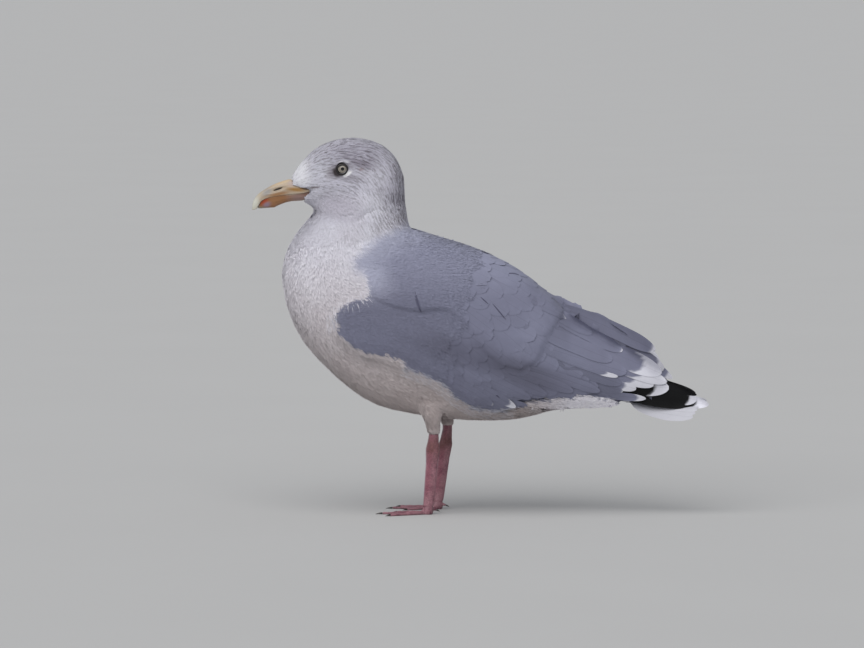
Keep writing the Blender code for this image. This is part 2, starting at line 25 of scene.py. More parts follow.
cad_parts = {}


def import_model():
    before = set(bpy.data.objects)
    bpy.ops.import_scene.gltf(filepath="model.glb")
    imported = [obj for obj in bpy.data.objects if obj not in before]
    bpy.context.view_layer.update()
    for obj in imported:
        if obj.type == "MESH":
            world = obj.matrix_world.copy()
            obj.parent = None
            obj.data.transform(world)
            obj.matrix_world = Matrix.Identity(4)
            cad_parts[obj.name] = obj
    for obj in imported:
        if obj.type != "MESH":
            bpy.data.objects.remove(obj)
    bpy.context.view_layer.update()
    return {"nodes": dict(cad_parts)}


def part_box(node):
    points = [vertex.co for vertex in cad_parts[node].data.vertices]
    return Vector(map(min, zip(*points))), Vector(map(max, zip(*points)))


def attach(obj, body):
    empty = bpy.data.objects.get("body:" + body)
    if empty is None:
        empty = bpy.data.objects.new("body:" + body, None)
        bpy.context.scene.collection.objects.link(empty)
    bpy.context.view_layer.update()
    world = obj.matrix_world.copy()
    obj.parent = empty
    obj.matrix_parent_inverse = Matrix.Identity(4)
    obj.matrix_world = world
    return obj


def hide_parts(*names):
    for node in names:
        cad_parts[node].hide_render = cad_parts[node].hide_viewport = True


MM = 0.001
Array = np.ndarray
Chance = np.random.Generator
OfPlaces = Callable[[Array], Array]
Piece = bpy.types.Object
Solids = dict[str, Piece]
Node = bpy.types.Node
Socket = bpy.types.NodeSocket
log = logging.getLogger("gull")


class Side(Enum):
    """The two sides of the bird, by the sign of y."""

    LEFT = -1
    RIGHT = 1

    @property
    def word(self) -> str:
        """The side's name, as the solids' names end."""
        return self.name.lower()


# ---------------------------------------------------------------- arrays


def unit(vectors: Array) -> Array:
    """Vectors scaled to length 1, along the last axis."""
    return vectors / np.maximum(np.linalg.norm(vectors, axis=-1, keepdims=True), 1e-12)


def tangent_to(normals: Array, directions: Array) -> Array:
    """Directions laid flat on the surface that has these normals, at length 1."""
    return unit(directions - normals * (directions * normals).sum(-1, keepdims=True))


def smoothstep(low: float, high: float, values: Array) -> Array:
    """0 below low, 1 above high, and a smooth rise between them."""
    t = np.clip((values - low) / (high - low), 0.0, 1.0)
    return t * t * (3 - 2 * t)


def linear(red: float, green: float, blue: float) -> Array:
    """A display colour of 0 to 255 a channel, as linear light from 0 to 1."""
    share = np.array([red, green, blue], float) / 255
    return np.where(share <= 0.04045, share / 12.92, ((share + 0.055) / 1.055) ** 2.4)


def mixed(first: Array, second: Array, share: Array) -> Array:
    """Rows between two colours: the first where share is 0, the second where it is 1."""
    return first + (second - first) * np.asarray(share)[..., None]


def value_noise(points: Array, cell: float | tuple[float, ...], seed: int) -> Array:
    """Smooth noise over points, the same on every run.

    Args:
        points: places, (N, 3).
        cell: the size of one lump, for all three axes or for each.
        seed: which noise.

    Returns:
        One value from 0 to 1 for each place.
    """
    scaled = points / np.asarray(cell)
    corner = np.floor(scaled).astype(np.int64)
    part = scaled - corner
    blend = part * part * (3 - 2 * part)
    total = np.zeros(len(points))
    for step in product((0, 1), repeat=3):
        at = (corner + np.array(step)).astype(np.uint64)
        mix = at[:, 0] * np.uint64(73856093) ^ at[:, 1] * np.uint64(19349663)
        mix = mix ^ at[:, 2] * np.uint64(83492791) ^ np.uint64(seed * 2654435761)
        mix = (mix ^ (mix >> np.uint64(29))) * np.uint64(0xBF58476D1CE4E5B9)
        mix = mix ^ (mix >> np.uint64(32))
        share = (mix & np.uint64(0xFFFFFF)).astype(float) / 0xFFFFFF
        total += share * np.where(step, blend, 1 - blend).prod(1)
    return total


def inside_depth(places: Array, outline: Array) -> Array:
    """How deep places lie inside a closed outline on the side view.

    Args:
        places: (N, 2), as (x, z).
        outline: the outline's corners in order, (M, 2).

    Returns:
        The distance to the outline for each place, below 0 outside it.
    """
    ends = np.roll(outline, -1, axis=0)
    nearest = np.full(len(places), np.inf)
    inside = np.zeros(len(places), bool)
    for start, end in zip(outline, ends):
        run = end - start
        from_start = places - start
        t = np.clip(from_start @ run / max(run @ run, 1e-12), 0, 1)
        gap = np.linalg.norm(from_start - t[:, None] * run, axis=1)
        nearest = np.minimum(nearest, gap)
        crosses = (start[1] > places[:, 1]) != (end[1] > places[:, 1])
        rise = run[1] if run[1] else 1e-12
        inside ^= crosses & (places[:, 0] < start[0] + (places[:, 1] - start[1]) / rise * run[0])
    return np.where(inside, nearest, -nearest)


def arrays_of(obj: Piece) -> tuple[Array, Array]:
    """The points and triangles of an object as its modifiers leave it."""
    evaluated = obj.evaluated_get(bpy.context.evaluated_depsgraph_get())
    mesh = evaluated.to_mesh()
    mesh.calc_loop_triangles()
    points = np.empty(len(mesh.vertices) * 3, np.float32)
    mesh.vertices.foreach_get("co", points)
    triangles = np.empty(len(mesh.loop_triangles) * 3, np.int32)
    mesh.loop_triangles.foreach_get("vertices", triangles)
    evaluated.to_mesh_clear()
    return points.reshape(-1, 3).astype(float), triangles.reshape(-1, 3)


def mesh_object(name: str, points: Array, triangles: Array) -> Piece:
    """A new smooth-shaded object of these points and triangles."""
    mesh = bpy.data.meshes.new(name)
    mesh.vertices.add(len(points))
    mesh.vertices.foreach_set("co", points.astype(np.float32).ravel())
    mesh.loops.add(triangles.size)
    mesh.loops.foreach_set("vertex_index", triangles.astype(np.int32).ravel())
    mesh.polygons.add(len(triangles))
    mesh.polygons.foreach_set("loop_start", np.arange(0, triangles.size, 3, dtype=np.int32))
    mesh.update(calc_edges=True)
    mesh.shade_smooth()
    obj = bpy.data.objects.new(name, mesh)
    bpy.context.scene.collection.objects.link(obj)
    return obj


def quads(*corners: Array) -> Array:
    """Two triangles for each four-sided face, from its four corners in order."""
    a, b, c, d = (corner.ravel() for corner in corners)
    return np.concatenate([np.stack([a, b, c], 1), np.stack([a, c, d], 1)])


def sheet_faces(rows: int, columns: int) -> Array:
    """The triangles of a grid of points."""
    index = np.arange(rows * columns).reshape(rows, columns)
    return quads(index[:-1, :-1], index[:-1, 1:], index[1:, 1:], index[1:, :-1])


def read_off(table: tuple, places: Array, softness: float) -> Array:
    """Values between the rows of a table, each row weighed by its nearness on the side view.

    Args:
        table: rows of x, z and the values there, in millimetres.
        places: (N, 3).
        softness: how much the rows blend, in square millimetres.

    Returns:
        The values at each place, (N, values).
    """
    rows = np.array(table, float)
    gaps = places[:, None, [0, 2]] / MM - rows[None, :, :2]
    near = 1 / ((gaps ** 2).sum(-1) + softness) ** 2
    return (near @ rows[:, 2:]) / near.sum(1, keepdims=True)


def paint(obj: Piece, name: str, colours: Array) -> None:
    """Stores one colour for each point of a mesh, for its finish to read."""
    filled = np.ones((len(colours), 4), np.float32)
    filled[:, :3] = colours
    layer = obj.data.color_attributes.new(name, "FLOAT_COLOR", "POINT")
    layer.data.foreach_set("color", filled.ravel())


def measure(obj: Piece, name: str, vectors: Array) -> None:
    """Stores one vector for each point of a mesh, for its finish to read."""
    layer = obj.data.attributes.new(name, "FLOAT_VECTOR", "POINT")
    layer.data.foreach_set("vector", vectors.astype(np.float32).ravel())


def bake_map(obj: Piece, places: Array) -> None:
    """Gives a mesh its bake map from one place for each point, (N, 2)."""
    corners = np.empty(len(obj.data.loops), np.int32)
    obj.data.loops.foreach_get("vertex_index", corners)
    layer = obj.data.uv_layers.new(name="OFBake")
    layer.data.foreach_set("uv", places[corners].astype(np.float32).ravel())


# ---------------------------------------------------------------- surfaces


VIEW_FALL = 0.075  # how much lower the side view shows a place for its distance from the middle


def side_view(points: Array) -> Array:
    """(x, z) of places as the side view shows them, looked at from slightly above."""
    return np.stack([points[..., 0], points[..., 2] - VIEW_FALL * np.abs(points[..., 1])], axis=-1)


class Surface:
    """A closed mesh that skin, tufts and vanes are laid on."""

    def __init__(self, points: Array, triangles: Array) -> None:
        """Keeps the mesh and makes its normals, areas and search tree."""
        self.points = points
        self.triangles = triangles
        corners = points[triangles]
        cross = np.cross(corners[:, 1] - corners[:, 0], corners[:, 2] - corners[:, 0])
        self.areas = np.linalg.norm(cross, axis=1) / 2
        normals = np.zeros_like(points)
        for corner in range(3):
            np.add.at(normals, triangles[:, corner], cross)
        self.normals = unit(normals)
        self.tree = BVHTree.FromPolygons(points.tolist(), triangles.tolist())

    def blended(self, values: Array, faces: Array, places: Array) -> Array:
        """Values kept at the mesh's points, read at places on its faces."""
        a, b, c = (self.points[self.triangles[faces, k]] for k in range(3))
        ab, ac, ap = b - a, c - a, places - a
        d00, d01, d11 = (ab * ab).sum(1), (ab * ac).sum(1), (ac * ac).sum(1)
        d20, d21 = (ap * ab).sum(1), (ap * ac).sum(1)
        below = np.maximum(d00 * d11 - d01 * d01, 1e-20)
        v = np.clip((d11 * d20 - d01 * d21) / below, 0, 1)
        w = np.clip((d00 * d21 - d01 * d20) / below, 0, 1)
        shares = np.stack([1 - v - w, v, w], axis=1)
        kept = values[self.triangles[faces]]
        return (kept * shares.reshape(shares.shape + (1,) * (kept.ndim - 2))).sum(1)

    def of_faces(self, values: Array) -> Array:
        """Values kept at the mesh's points, as their mean on each face."""
        return values[self.triangles].mean(1)

    def snap(self, places: Array) -> tuple[Array, Array, Array]:
        """The nearest places on the surface.

        Args:
            places: (..., 3).

        Returns:
            The places on the surface and the normals there, shaped alike, and the faces.
        """
        flat = places.reshape(-1, 3)
        found = [self.tree.find_nearest(place) for place in flat.tolist()]
        hits = np.array([hit[0] for hit in found])
        faces = np.array([hit[2] for hit in found])
        normals = unit(self.blended(self.normals, faces, hits))
        shape = places.shape
        return hits.reshape(shape), normals.reshape(shape), faces.reshape(shape[:-1])

    def from_side(self, places: Array, side: Side, start: float = 0.2) -> Array:
        """Places of the side view, (N, 2), carried in to the surface from that side."""
        made = []
        inwards = Vector((0, -side.value, 0))
        for x, z in places.tolist():
            hit = self.tree.ray_cast(Vector((x, side.value * start, z)), inwards)[0]
            if hit is None:
                hit = self.tree.find_nearest(Vector((x, side.value * 0.02, z)))[0]
                hit = (x, hit[1], z)
            raised = Vector((x, side.value * start, z + VIEW_FALL * abs(hit[1])))
            made.append(self.tree.ray_cast(raised, inwards)[0] or (x, hit[1], raised.z))
        return np.array(made)

    def thickness(self, most: float = 0.05) -> Array:
        """How far it is to the other side of the body, straight in from each point."""
        starts = self.points - self.normals * 0.0003
        found = []
        for start, normal in zip(starts.tolist(), self.normals.tolist()):
            inwards = Vector(normal) * -1
            hit = self.tree.ray_cast(Vector(start), inwards, most)
            found.append(most if hit[0] is None else hit[3])
        return np.array(found)

    def scatter(self, shares: Array, count: int, rng: Chance) -> tuple[Array, Array, Array]:
        """Random places, evenly spread over the faces.

        Args:
            shares: how dense the places lie on each face, 0 for none.
            count: how many places.
            rng: the seeded source of chance.

        Returns:
            Places, normals and faces.
        """
        sums = np.cumsum(self.areas * shares)
        steps = (np.arange(count) + rng.random(count)) / count * sums[-1]
        faces = np.minimum(np.searchsorted(sums, steps), len(sums) - 1)
        u, v = rng.random(count), rng.random(count)
        over = u + v > 1
        u, v = np.where(over, 1 - u, u), np.where(over, 1 - v, v)
        weights = np.stack([1 - u - v, u, v], axis=1)[..., None]
        corners = self.triangles[faces]
        places = (self.points[corners] * weights).sum(1)
        return places, unit((self.normals[corners] * weights).sum(1)), faces


class SideSheet:
    """A smooth sheet over one side of some forms, as a depth y for each place of the side view."""

    def __init__(self, forms: list[Surface], side: Side, low: tuple[float, float],
                 high: tuple[float, float], step: float = 0.002, rounds: int = 400) -> None:
        """Feels the forms from the side, then carries the sheet on smoothly past their edges.

        Args:
            forms: the forms under the sheet, the outermost counting at each place.
            side: the side that it is felt from.
            low: the sheet's lower front corner on the side view.
            high: its upper rear corner.
            step: the width of its mesh.
            rounds: how far the smooth edges are carried.
        """
        self.low, self.step = np.array(low), step
        count = np.ceil((np.array(high) - self.low) / step).astype(int) + 1
        depth = np.full(count, np.nan)
        inwards = Vector((0, -side.value, 0))
        for column, row in product(range(count[0]), range(count[1])):
            x, z = self.low + np.array([column, row]) * step
            hits = [form.tree.ray_cast(Vector((x, side.value * 0.2, z)), inwards)[0] for form in forms]
            found = [hit[1] * side.value for hit in hits if hit is not None]
            if found:
                depth[column, row] = max(found)
        known = ~np.isnan(depth)
        depth = np.where(known, depth, np.nanmean(depth))
        for turn in range(rounds):
            padded = np.pad(depth, 1, mode="edge")
            around = (padded[:-2, 1:-1] + padded[2:, 1:-1] + padded[1:-1, :-2] + padded[1:-1, 2:]) / 4
            depth = np.where(known & (turn < rounds - 6), depth, around)
        self.depth = depth * side.value

    def __call__(self, places: Array) -> Array:
        """The sheet's y at places of the side view, (..., 2)."""
        at = (places - self.low) / self.step
        corner = np.clip(np.floor(at).astype(int), 0, np.array(self.depth.shape) - 2)
        part = np.clip(at - corner, 0, 1)
        i, j, u, v = corner[..., 0], corner[..., 1], part[..., 0], part[..., 1]
        front = self.depth[i, j] * (1 - v) + self.depth[i, j + 1] * v
        rear = self.depth[i + 1, j] * (1 - v) + self.depth[i + 1, j + 1] * v
        return front * (1 - u) + rear * u


def relaxed(points: Array, triangles: Array, rounds: int, pulls: tuple = (0.55, -0.57)) -> Array:
    """Points of a mesh with its small steps smoothed out, and its size kept by the second pull."""
    edges = np.concatenate([triangles[:, [0, 1]], triangles[:, [1, 2]], triangles[:, [2, 0]]])
    count = np.bincount(edges.ravel(), minlength=len(points))[:, None]
    for _ in range(rounds):
        for pull in pulls:
            total = np.zeros_like(points)
            np.add.at(total, edges[:, 0], points[edges[:, 1]])
            np.add.at(total, edges[:, 1], points[edges[:, 0]])
            points = points + pull * (total / count - points)
    return points


def joined(nodes: list[Piece], voxel: float, grow: float, rounds: int) -> Surface:
    """Solids made one smooth closed form.

    Args:
        nodes: the solids to join.
        voxel: the size of the form's faces.
        grow: how far each solid is swelled first, so that thin gaps close.
        rounds: how much it is smoothed.

    Returns:
        The largest single form that they make, back at the solids' own size.
    """
    bm = bmesh.new()
    for node in nodes:
        bm.from_mesh(node.data)
    bmesh.ops.remove_doubles(bm, verts=bm.verts, dist=1e-6)
    bmesh.ops.recalc_face_normals(bm, faces=bm.faces)
    bm.normal_update()
    for vert in bm.verts:
        vert.co += vert.normal * grow
    mesh = bpy.data.meshes.new("joined")
    bm.to_mesh(mesh)
    bm.free()
    obj = bpy.data.objects.new("joined", mesh)
    bpy.context.scene.collection.objects.link(obj)
    remesh = obj.modifiers.new("Remesh", "REMESH")
    remesh.mode = "VOXEL"
    remesh.voxel_size = voxel
    points, triangles = arrays_of(obj)
    bpy.data.objects.remove(obj)
    points, triangles = largest_piece(points, triangles)
    points = relaxed(points, triangles, rounds)
    grown = Surface(points, triangles)
    return Surface(points - grown.normals * grow, triangles)


def largest_piece(points: Array, triangles: Array) -> tuple[Array, Array]:
    """Only the biggest connected piece of a mesh."""
    group = np.arange(len(points))
    while True:
        lowest = group[triangles].min(1)
        before = group.copy()
        for corner in range(3):
            np.minimum.at(group, triangles[:, corner], lowest)
        group = group[group]
        if (group == before).all():
            break
    names, sizes = np.unique(group, return_counts=True)
    kept = group == names[sizes.argmax()]
    place = np.cumsum(kept) - 1
    return points[kept], place[triangles[kept[triangles[:, 0]]]]


# ---------------------------------------------------------------- lie and markings


@dataclass(frozen=True)
class Lie:
    """Which way the feathers point, at named places of the side view.

    Each row is (x, z, angle): 0 degrees points to the tail, and -90 straight down.
    """

    head: tuple = (
        (-206, 384, 48), (-190, 408, 36), (-165, 420, 14), (-142, 424, -2), (-120, 420, -18),
        (-102, 411, -42), (-90, 398, -66), (-200, 372, 6), (-186, 380, 8), (-170, 388, 2),
        (-170, 372, -4), (-150, 388, -6), (-130, 392, -24), (-112, 380, -58), (-150, 360, -22),
        (-125, 360, -62), (-198, 352, -4), (-184, 344, -22), (-165, 338, -40), (-145, 338, -62),
    )
    neck: tuple = (
        (-84, 378, -88), (-83, 350, -88), (-80, 328, -66), (-188, 334, -82), (-200, 316, -66),
        (-214, 300, -74), (-176, 316, -76), (-150, 312, -80), (-120, 325, -76), (-100, 325, -58),
    )
    breast: tuple = (
        (-222, 270, -88), (-219, 245, -80), (-211, 218, -68), (-198, 194, -56), (-176, 168, -40),
        (-148, 142, -30), (-121, 123, -20), (-190, 270, -78), (-190, 230, -66), (-165, 275, -64),
        (-165, 200, -48), (-140, 165, -36), (-150, 290, -66), (-140, 150, -32),
    )
    belly: tuple = (
        (-90, 110, -12), (-50, 105, -5), (0, 103, 2), (45, 106, 5), (100, 118, 6), (160, 122, 2),
        (-100, 155, -28), (-70, 150, -24), (-50, 135, -22), (-30, 122, -14), (0, 112, -4),
    )
    back: tuple = (
        (-75, 322, -24), (-65, 316, -20), (-42, 308, -20), (0, 294, -22), (45, 270, -28),
        (88, 236, -36), (110, 228, -24), (140, 215, -36), (180, 190, -38), (205, 165, -40),
    )
    wing: tuple = (
        (-155, 222, -14), (-140, 236, -10), (-145, 198, -34), (-115, 186, -26), (-90, 176, -30),
        (-125, 285, -28), (-125, 255, -26), (-95, 290, -26), (-60, 285, -28), (-95, 240, -24),
        (-90, 210, -24), (-60, 235, -28), (-50, 200, -32), (-60, 170, -36), (-30, 265, -32),
        (-20, 225, -36), (-20, 180, -38), (-25, 145, -38), (10, 250, -34), (20, 210, -36),
        (20, 165, -34), (15, 130, -22), (55, 230, -32), (60, 190, -32), (60, 150, -24),
        (60, 125, -10), (100, 205, -28), (100, 170, -26), (100, 135, -12), (150, 180, -26),
        (150, 150, -20), (150, 130, -10), (190, 160, -24), (190, 140, -16), (240, 122, -10),
    )
    thigh: tuple = ((-45, 108, -70), (-45, 96, -84), (-30, 104, -66), (-62, 104, -70))
    softness: float = 9.0

    def __call__(self, points: Array, normals: Array) -> Array:
        """The lie at these points, flat on the surface with these normals."""
        rows = self.head + self.neck + self.breast + self.belly + self.back + self.wing + self.thigh
        table = np.array(rows, float)
        turn = np.radians(table[:, 2])
        ways = np.stack([np.cos(turn), np.sin(turn)], axis=1)
        flat, flat_normals = points.reshape(-1, 3), normals.reshape(-1, 3)
        made = np.zeros_like(flat)
        for start in range(0, len(flat), 50000):
            part = slice(start, start + 50000)
            gaps = flat[part][:, None, [0, 2]] / MM - table[None, :, :2]
            near = 1 / ((gaps ** 2).sum(-1) + self.softness ** 2) ** 2
            made[part][:, [0, 2]] = near @ ways
        return tangent_to(flat_normals, unit(made)).reshape(points.shape)


@dataclass(frozen=True)
class Unwrap:
    """The body rolled out flat: how far along its axis a place is, and how far round it."""

    axis: tuple = (
        (-215, 362), (-190, 370), (-160, 379), (-138, 374), (-126, 358), (-124, 335), (-130, 305),
        (-130, 278), (-118, 248), (-90, 226), (-45, 212), (0, 200), (50, 186), (100, 168),
        (150, 148), (200, 128), (262, 110),
    )
    steps: int = 120

    def __call__(self, points: Array) -> tuple[Array, Array, Array]:
        """Rolls places out.

        Args:
            points: (N, 3).

        Returns:
            The length along the axis, the angle round it from its back line, and the reach
            from it, for each place.
        """
        knots = np.array(self.axis, float) * MM
        run = np.concatenate([[0], np.cumsum(np.linalg.norm(np.diff(knots, axis=0), axis=1))])
        stations = np.linspace(0, run[-1], self.steps)
        line = np.stack([np.interp(stations, run, knots[:, k]) for k in (0, 1)], axis=1)
        ways = unit(np.gradient(line, axis=0))
        length, angle, reach = (np.zeros(len(points)) for _ in range(3))
        for start in range(0, len(points), 50000):
            part = slice(start, start + 50000)
            gaps = points[part][:, None, [0, 2]] - line[None]
            nearest = (gaps ** 2).sum(-1).argmin(1)
            chosen = gaps[np.arange(len(nearest)), nearest]
            way = ways[nearest]
            up = chosen[:, 1] * way[:, 0] - chosen[:, 0] * way[:, 1]
            length[part] = stations[nearest] + (chosen * way).sum(1)
            angle[part] = np.arctan2(points[part][:, 1], up)
            reach[part] = np.hypot(points[part][:, 1], up)
        return length, angle, reach


@dataclass(frozen=True)
class Spot:
    """A soft-edged patch of colour on the side view, in millimetres."""

    centre: tuple[float, float]
    size: tuple[float, float]
    colour: tuple[int, int, int]
    turn: float = 0.0
    strength: float = 1.0

    def share(self, points: Array, low: float = 0.7, high: float = 1.25) -> Array:
        """How much of the patch's colour each place takes, fading from low to high of its size."""
        angle = math.radians(self.turn)
        flat = side_view(points) / MM
        x, z = flat[:, 0] - self.centre[0], flat[:, 1] - self.centre[1]
        along = x * math.cos(angle) + z * math.sin(angle)
        square = z * math.cos(angle) - x * math.sin(angle)
        gap = np.sqrt((along / self.size[0]) ** 2 + (square / self.size[1]) ** 2)
        return self.strength * (1 - smoothstep(low, high, gap))


@dataclass(frozen=True)
class Streaks:
    """The winter head's dark streaks: one on each of many feathers, lying as the feather does.

    Each row of sizes is (x, z, strength, length, half width): how dark, long and wide they are
    round that place of the side view, in millimetres.
    """

    sizes: tuple = (
        (-206, 382, 0.10, 4.0, 0.50), (-196, 380, 0.30, 4.5, 0.60), (-190, 400, 0.75, 5.0, 0.72),
        (-170, 411, 0.85, 5.5, 0.78), (-148, 419, 0.80, 6.5, 0.80), (-120, 414, 0.85, 7.0, 0.82),
        (-100, 402, 0.85, 7.0, 0.85), (-88, 384, 0.95, 8.0, 0.90), (-84, 362, 1.00, 9.0, 0.95),
        (-86, 342, 1.00, 9.5, 0.95), (-99, 336, 0.90, 10.0, 0.90), (-113, 330, 0.60, 10.0, 0.80),
        (-130, 323, 0.35, 8.0, 0.70), (-146, 316, 0.28, 7.0, 0.65), (-162, 306, 0.12, 7.0, 0.60),
        (-200, 305, 0.0, 6.0, 0.50), (-190, 336, 0.10, 5.0, 0.50), (-186, 350, 0.10, 4.5, 0.50),
        (-170, 347, 0.10, 4.5, 0.55), (-150, 346, 0.16, 5.0, 0.60), (-130, 350, 0.28, 5.5, 0.70),
        (-180, 366, 0.55, 4.5, 0.70), (-162, 367, 0.65, 4.5, 0.72), (-143, 367, 0.60, 5.5, 0.72),
        (-125, 368, 0.42, 5.2, 0.75), (-107, 370, 0.52, 6.0, 0.82), (-188, 378, 0.45, 4.5, 0.62),
        (-177, 388, 0.75, 4.5, 0.72), (-155, 403, 0.80, 5.5, 0.78), (-130, 392, 0.90, 6.0, 0.80),
        (-112, 390, 0.62, 6.0, 0.82), (-110, 302, 0.12, 7.0, 0.60), (-150, 250, 0.0, 8.0, 0.60),
        (-60, 300, 0.0, 8.0, 0.60),
    )
    gap: float = 0.0030
    tries: int = 30000
    seed: int = 17
    softness: float = 30.0
    chance: tuple[float, float] = (0.35, 1.15)
    broadening: float = 1.12

    def laid(self, surface: Surface, lie: Lie, shares: Array) -> tuple[KDTree, Array]:
        """Lays the streaks over a surface.

        Args:
            surface: what they lie on.
            lie: which way feathers point.
            shares: how dense they are on each face.

        Returns:
            A search tree of their middles, and for each its middle, way, length, half width
            and strength.
        """
        rng = np.random.default_rng(self.seed)
        roots, normals, _ = surface.scatter(shares, self.tries, rng)
        roots, normals = thinned(roots, normals, self.gap, rng)
        strength, length, half = read_off(self.sizes, roots, self.softness).T
        chance = rng.uniform(*self.chance, (len(roots), 3))
        rows = np.column_stack([
            roots, lie(roots, normals), length * chance[:, 0] * MM,
            half * self.broadening * chance[:, 1] * MM, strength * chance[:, 2],
        ])
        tree = KDTree(len(roots))
        for index, root in enumerate(roots.tolist()):
            tree.insert(root, index)
        tree.balance()
        return tree, rows

    @staticmethod
    def share(points: Array, tree: KDTree, rows: Array, nearest: int = 6) -> Array:
        """How dark the streaks are at places, 0 to 1."""
        found = np.array([[hit[1] for hit in tree.find_n(place, nearest)] for place in points.tolist()])
        rows = rows[found]
        off = points[:, None] - rows[..., :3]
        along = (off * rows[..., 3:6]).sum(-1)
        across = np.sqrt(np.maximum((off ** 2).sum(-1) - along ** 2, 0))
        gap = np.hypot(along / rows[..., 6], across / rows[..., 7])
        return np.clip(rows[..., 8] * (1 - smoothstep(0.45, 1.35, gap)), 0, 1).max(1)


@dataclass
class Markings:
    """The plumage's colours, worked out from the place on the bird alone, with painted light and shade in
    places.
    """

    white: tuple = (226, 226, 236)
    shade: tuple = (206, 201, 212)
    # painted shade of the underside, warmed as a painted reflection of light thrown up from the ground
    under: tuple = (182, 163, 153)
    grey: tuple = (124, 126, 147)
    dark_grey: tuple = (112, 112, 132)
    # painted light: the lighter grey towards the top of the back
    ridge_grey: tuple = (146, 148, 170)
    front_grey: tuple = (178, 180, 200)
    streak: tuple = (98, 90, 100)
    black: tuple = (2, 2, 4)
    streaks: Streaks = Streaks()
    washes: tuple[Spot, ...] = (
        Spot((-138, 404), (52, 24), (172, 169, 184), 0, 0.80),
        Spot((-92, 368), (20, 34), (184, 181, 195), 0, 0.75),
        # painted light: the shaded white band under the wing's rear is painted brighter than the white
        # plumage
        Spot((118, 122), (66, 17), (246, 244, 252), 0, 1.0),
        Spot((-146, 370), (42, 16), (210, 208, 221), 0, 0.70),
        # painted shade on the lower cheek, where the head turns down over the throat
        Spot((-160, 347), (34, 17), (192, 188, 201), -6, 0.85),
        # the forehead's own white, painted brighter than the plumage's white as painted light along its edge
        Spot((-203, 387), (14, 9), (250, 250, 255), 50, 0.90),
        Spot((-203, 376), (13, 10), (250, 250, 255), 0, 0.75),
        Spot((-134, 394), (15, 5.0), (134, 127, 140), -12, 0.70),
        Spot((-134, 387.5), (3.4, 2.0), (128, 92, 92), 20, 0.50),
        Spot((-165, 384), (10, 7.5), (126, 116, 124), 30, 0.65),
        Spot((-150, 378), (16, 4.5), (150, 144, 156), -6, 0.50),
        # painted shade of the gape's slit, carried back past the bill
        Spot((-187, 366.6), (6, 1.2), (96, 76, 74), 6, 0.80),
    )
    eye_marks: tuple[Spot, ...] = (
        Spot((-161.4, 383.4), (4.8, 6.2), (52, 42, 43), 30, 0.95),
        # painted shade round the eye
        Spot((-153.5, 388), (9.2, 9.2), (104, 96, 104), 0, 0.50),
        Spot((-153.6, 395.4), (7.2, 1.9), (240, 238, 246), 4, 0.70),
        Spot((-148.8, 381.8), (5.8, 2.0), (255, 254, 255), 36, 0.85),
    )
    mantle: tuple = (
        (-86, 330), (-100, 323), (-116, 315), (-131, 302), (-142, 289), (-144, 281), (-137, 273),
        (-131, 265), (-129, 256), (-127, 247), (-136, 243), (-151, 238), (-162, 230), (-165, 220),
        (-163, 210), (-157, 201), (-150, 194), (-143, 188.5), (-132, 184.5), (-120, 182), (-106, 180),
        (-95, 176), (-90, 166), (-74, 160), (-57, 152), (-43, 142), (-37, 134), (-27, 126),
        (-12, 117), (8, 113.5), (22, 114), (31, 117), (46, 121), (62, 124.5), (78, 128), (102, 131.5),
        (126, 130), (141, 125), (150, 116), (300, 90), (300, 330), (-60, 345),
    )
    # painted shade in bands below the scapulars' lower edge and over the low coverts
    wing_shade: tuple[Spot, ...] = (
        Spot((-8, 178), (72, 17), (96, 96, 114), -17, 0.70),
        Spot((52, 156), (44, 15), (98, 98, 115), -16, 0.65),
    )
    edge: tuple[float, float] = (-0.0008, 0.0012)
    edge_wander: float = 0.005
    soft_edge: float = 0.007
    soft_heights: tuple[float, float] = (0.262, 0.284)
    shade_share: float = 0.35
    under_share: float = 0.68
    under_heights: tuple[float, float] = (0.10, 0.36)
    streak_share: float = 0.85
    streaks_above: float = 0.28
    streaks_before: float = -0.06
    painted_light_share: float = 0.8
    painted_light_heights: tuple[float, float] = (0.240, 0.300)
    front_share: float = 0.9
    front_reach: float = 0.040
    front_heights: tuple[float, float] = (0.235, 0.275)

    def prepare(self, surface: Surface, lie: Lie, shares: Array) -> None:
        """Lays the streaks over the faces of head and neck, before any colour is asked for."""
        self.marks = self.streaks.laid(surface, lie, shares)

    def depth(self, points: Array) -> Array:
        """How deep places lie inside the mantle's outline, below 0 outside it."""
        return inside_depth(side_view(points), np.array(self.mantle, float) * MM)

    def grey_share(self, points: Array) -> Array:
        """How grey a place is, 0 on the white body and 1 on the back and wings."""
        wander = value_noise(points, 0.006, 5) - 0.5 + 0.5 * (value_noise(points, 0.0022, 6) - 0.5)
        soft = self.soft_edge * self.soft_border(points)
        low, high = self.edge
        return smoothstep(low - soft, high + soft, self.depth(points) + wander * self.edge_wander)

    def soft_border(self, points: Array) -> Array:
        """Where the grey fades into the white neck, 1, and where its edge is sharp, 0."""
        return smoothstep(*self.soft_heights, points[:, 2])

    @staticmethod
    def washed(colour: Array, points: Array, washes: tuple[Spot, ...], fade: tuple) -> Array:
        """Colours with some patches laid over them."""
        for wash in washes:
            colour = mixed(colour, linear(*wash.colour), wash.share(points, *fade))
        return colour

    def body(self, points: Array) -> Array:
        """The colour of skin and fine plumage at each place, with painted shade underneath and painted light
        and shade in some patches.
        """
        lumps = value_noise(points, 0.014, 3)
        colour = mixed(linear(*self.white), linear(*self.shade), self.shade_share * lumps)
        # painted shade: darker and warmer towards the bottom
        low = 1 - smoothstep(*self.under_heights, points[:, 2])
        colour = mixed(colour, linear(*self.under), self.under_share * low)
        colour = self.washed(colour, points, self.washes, (0.2, 1.4))
        near = (points[:, 2] > self.streaks_above) & (points[:, 0] < self.streaks_before)
        dark = np.zeros(len(points))
        if near.any():
            dark[near] = self.streaks.share(points[near], *self.marks)
        colour = mixed(colour, linear(*self.streak), self.streak_share * dark)
        colour = self.washed(colour, points, self.eye_marks, (0.5, 1.3))
        return mixed(colour, self.grey_tint(points), self.grey_share(points))

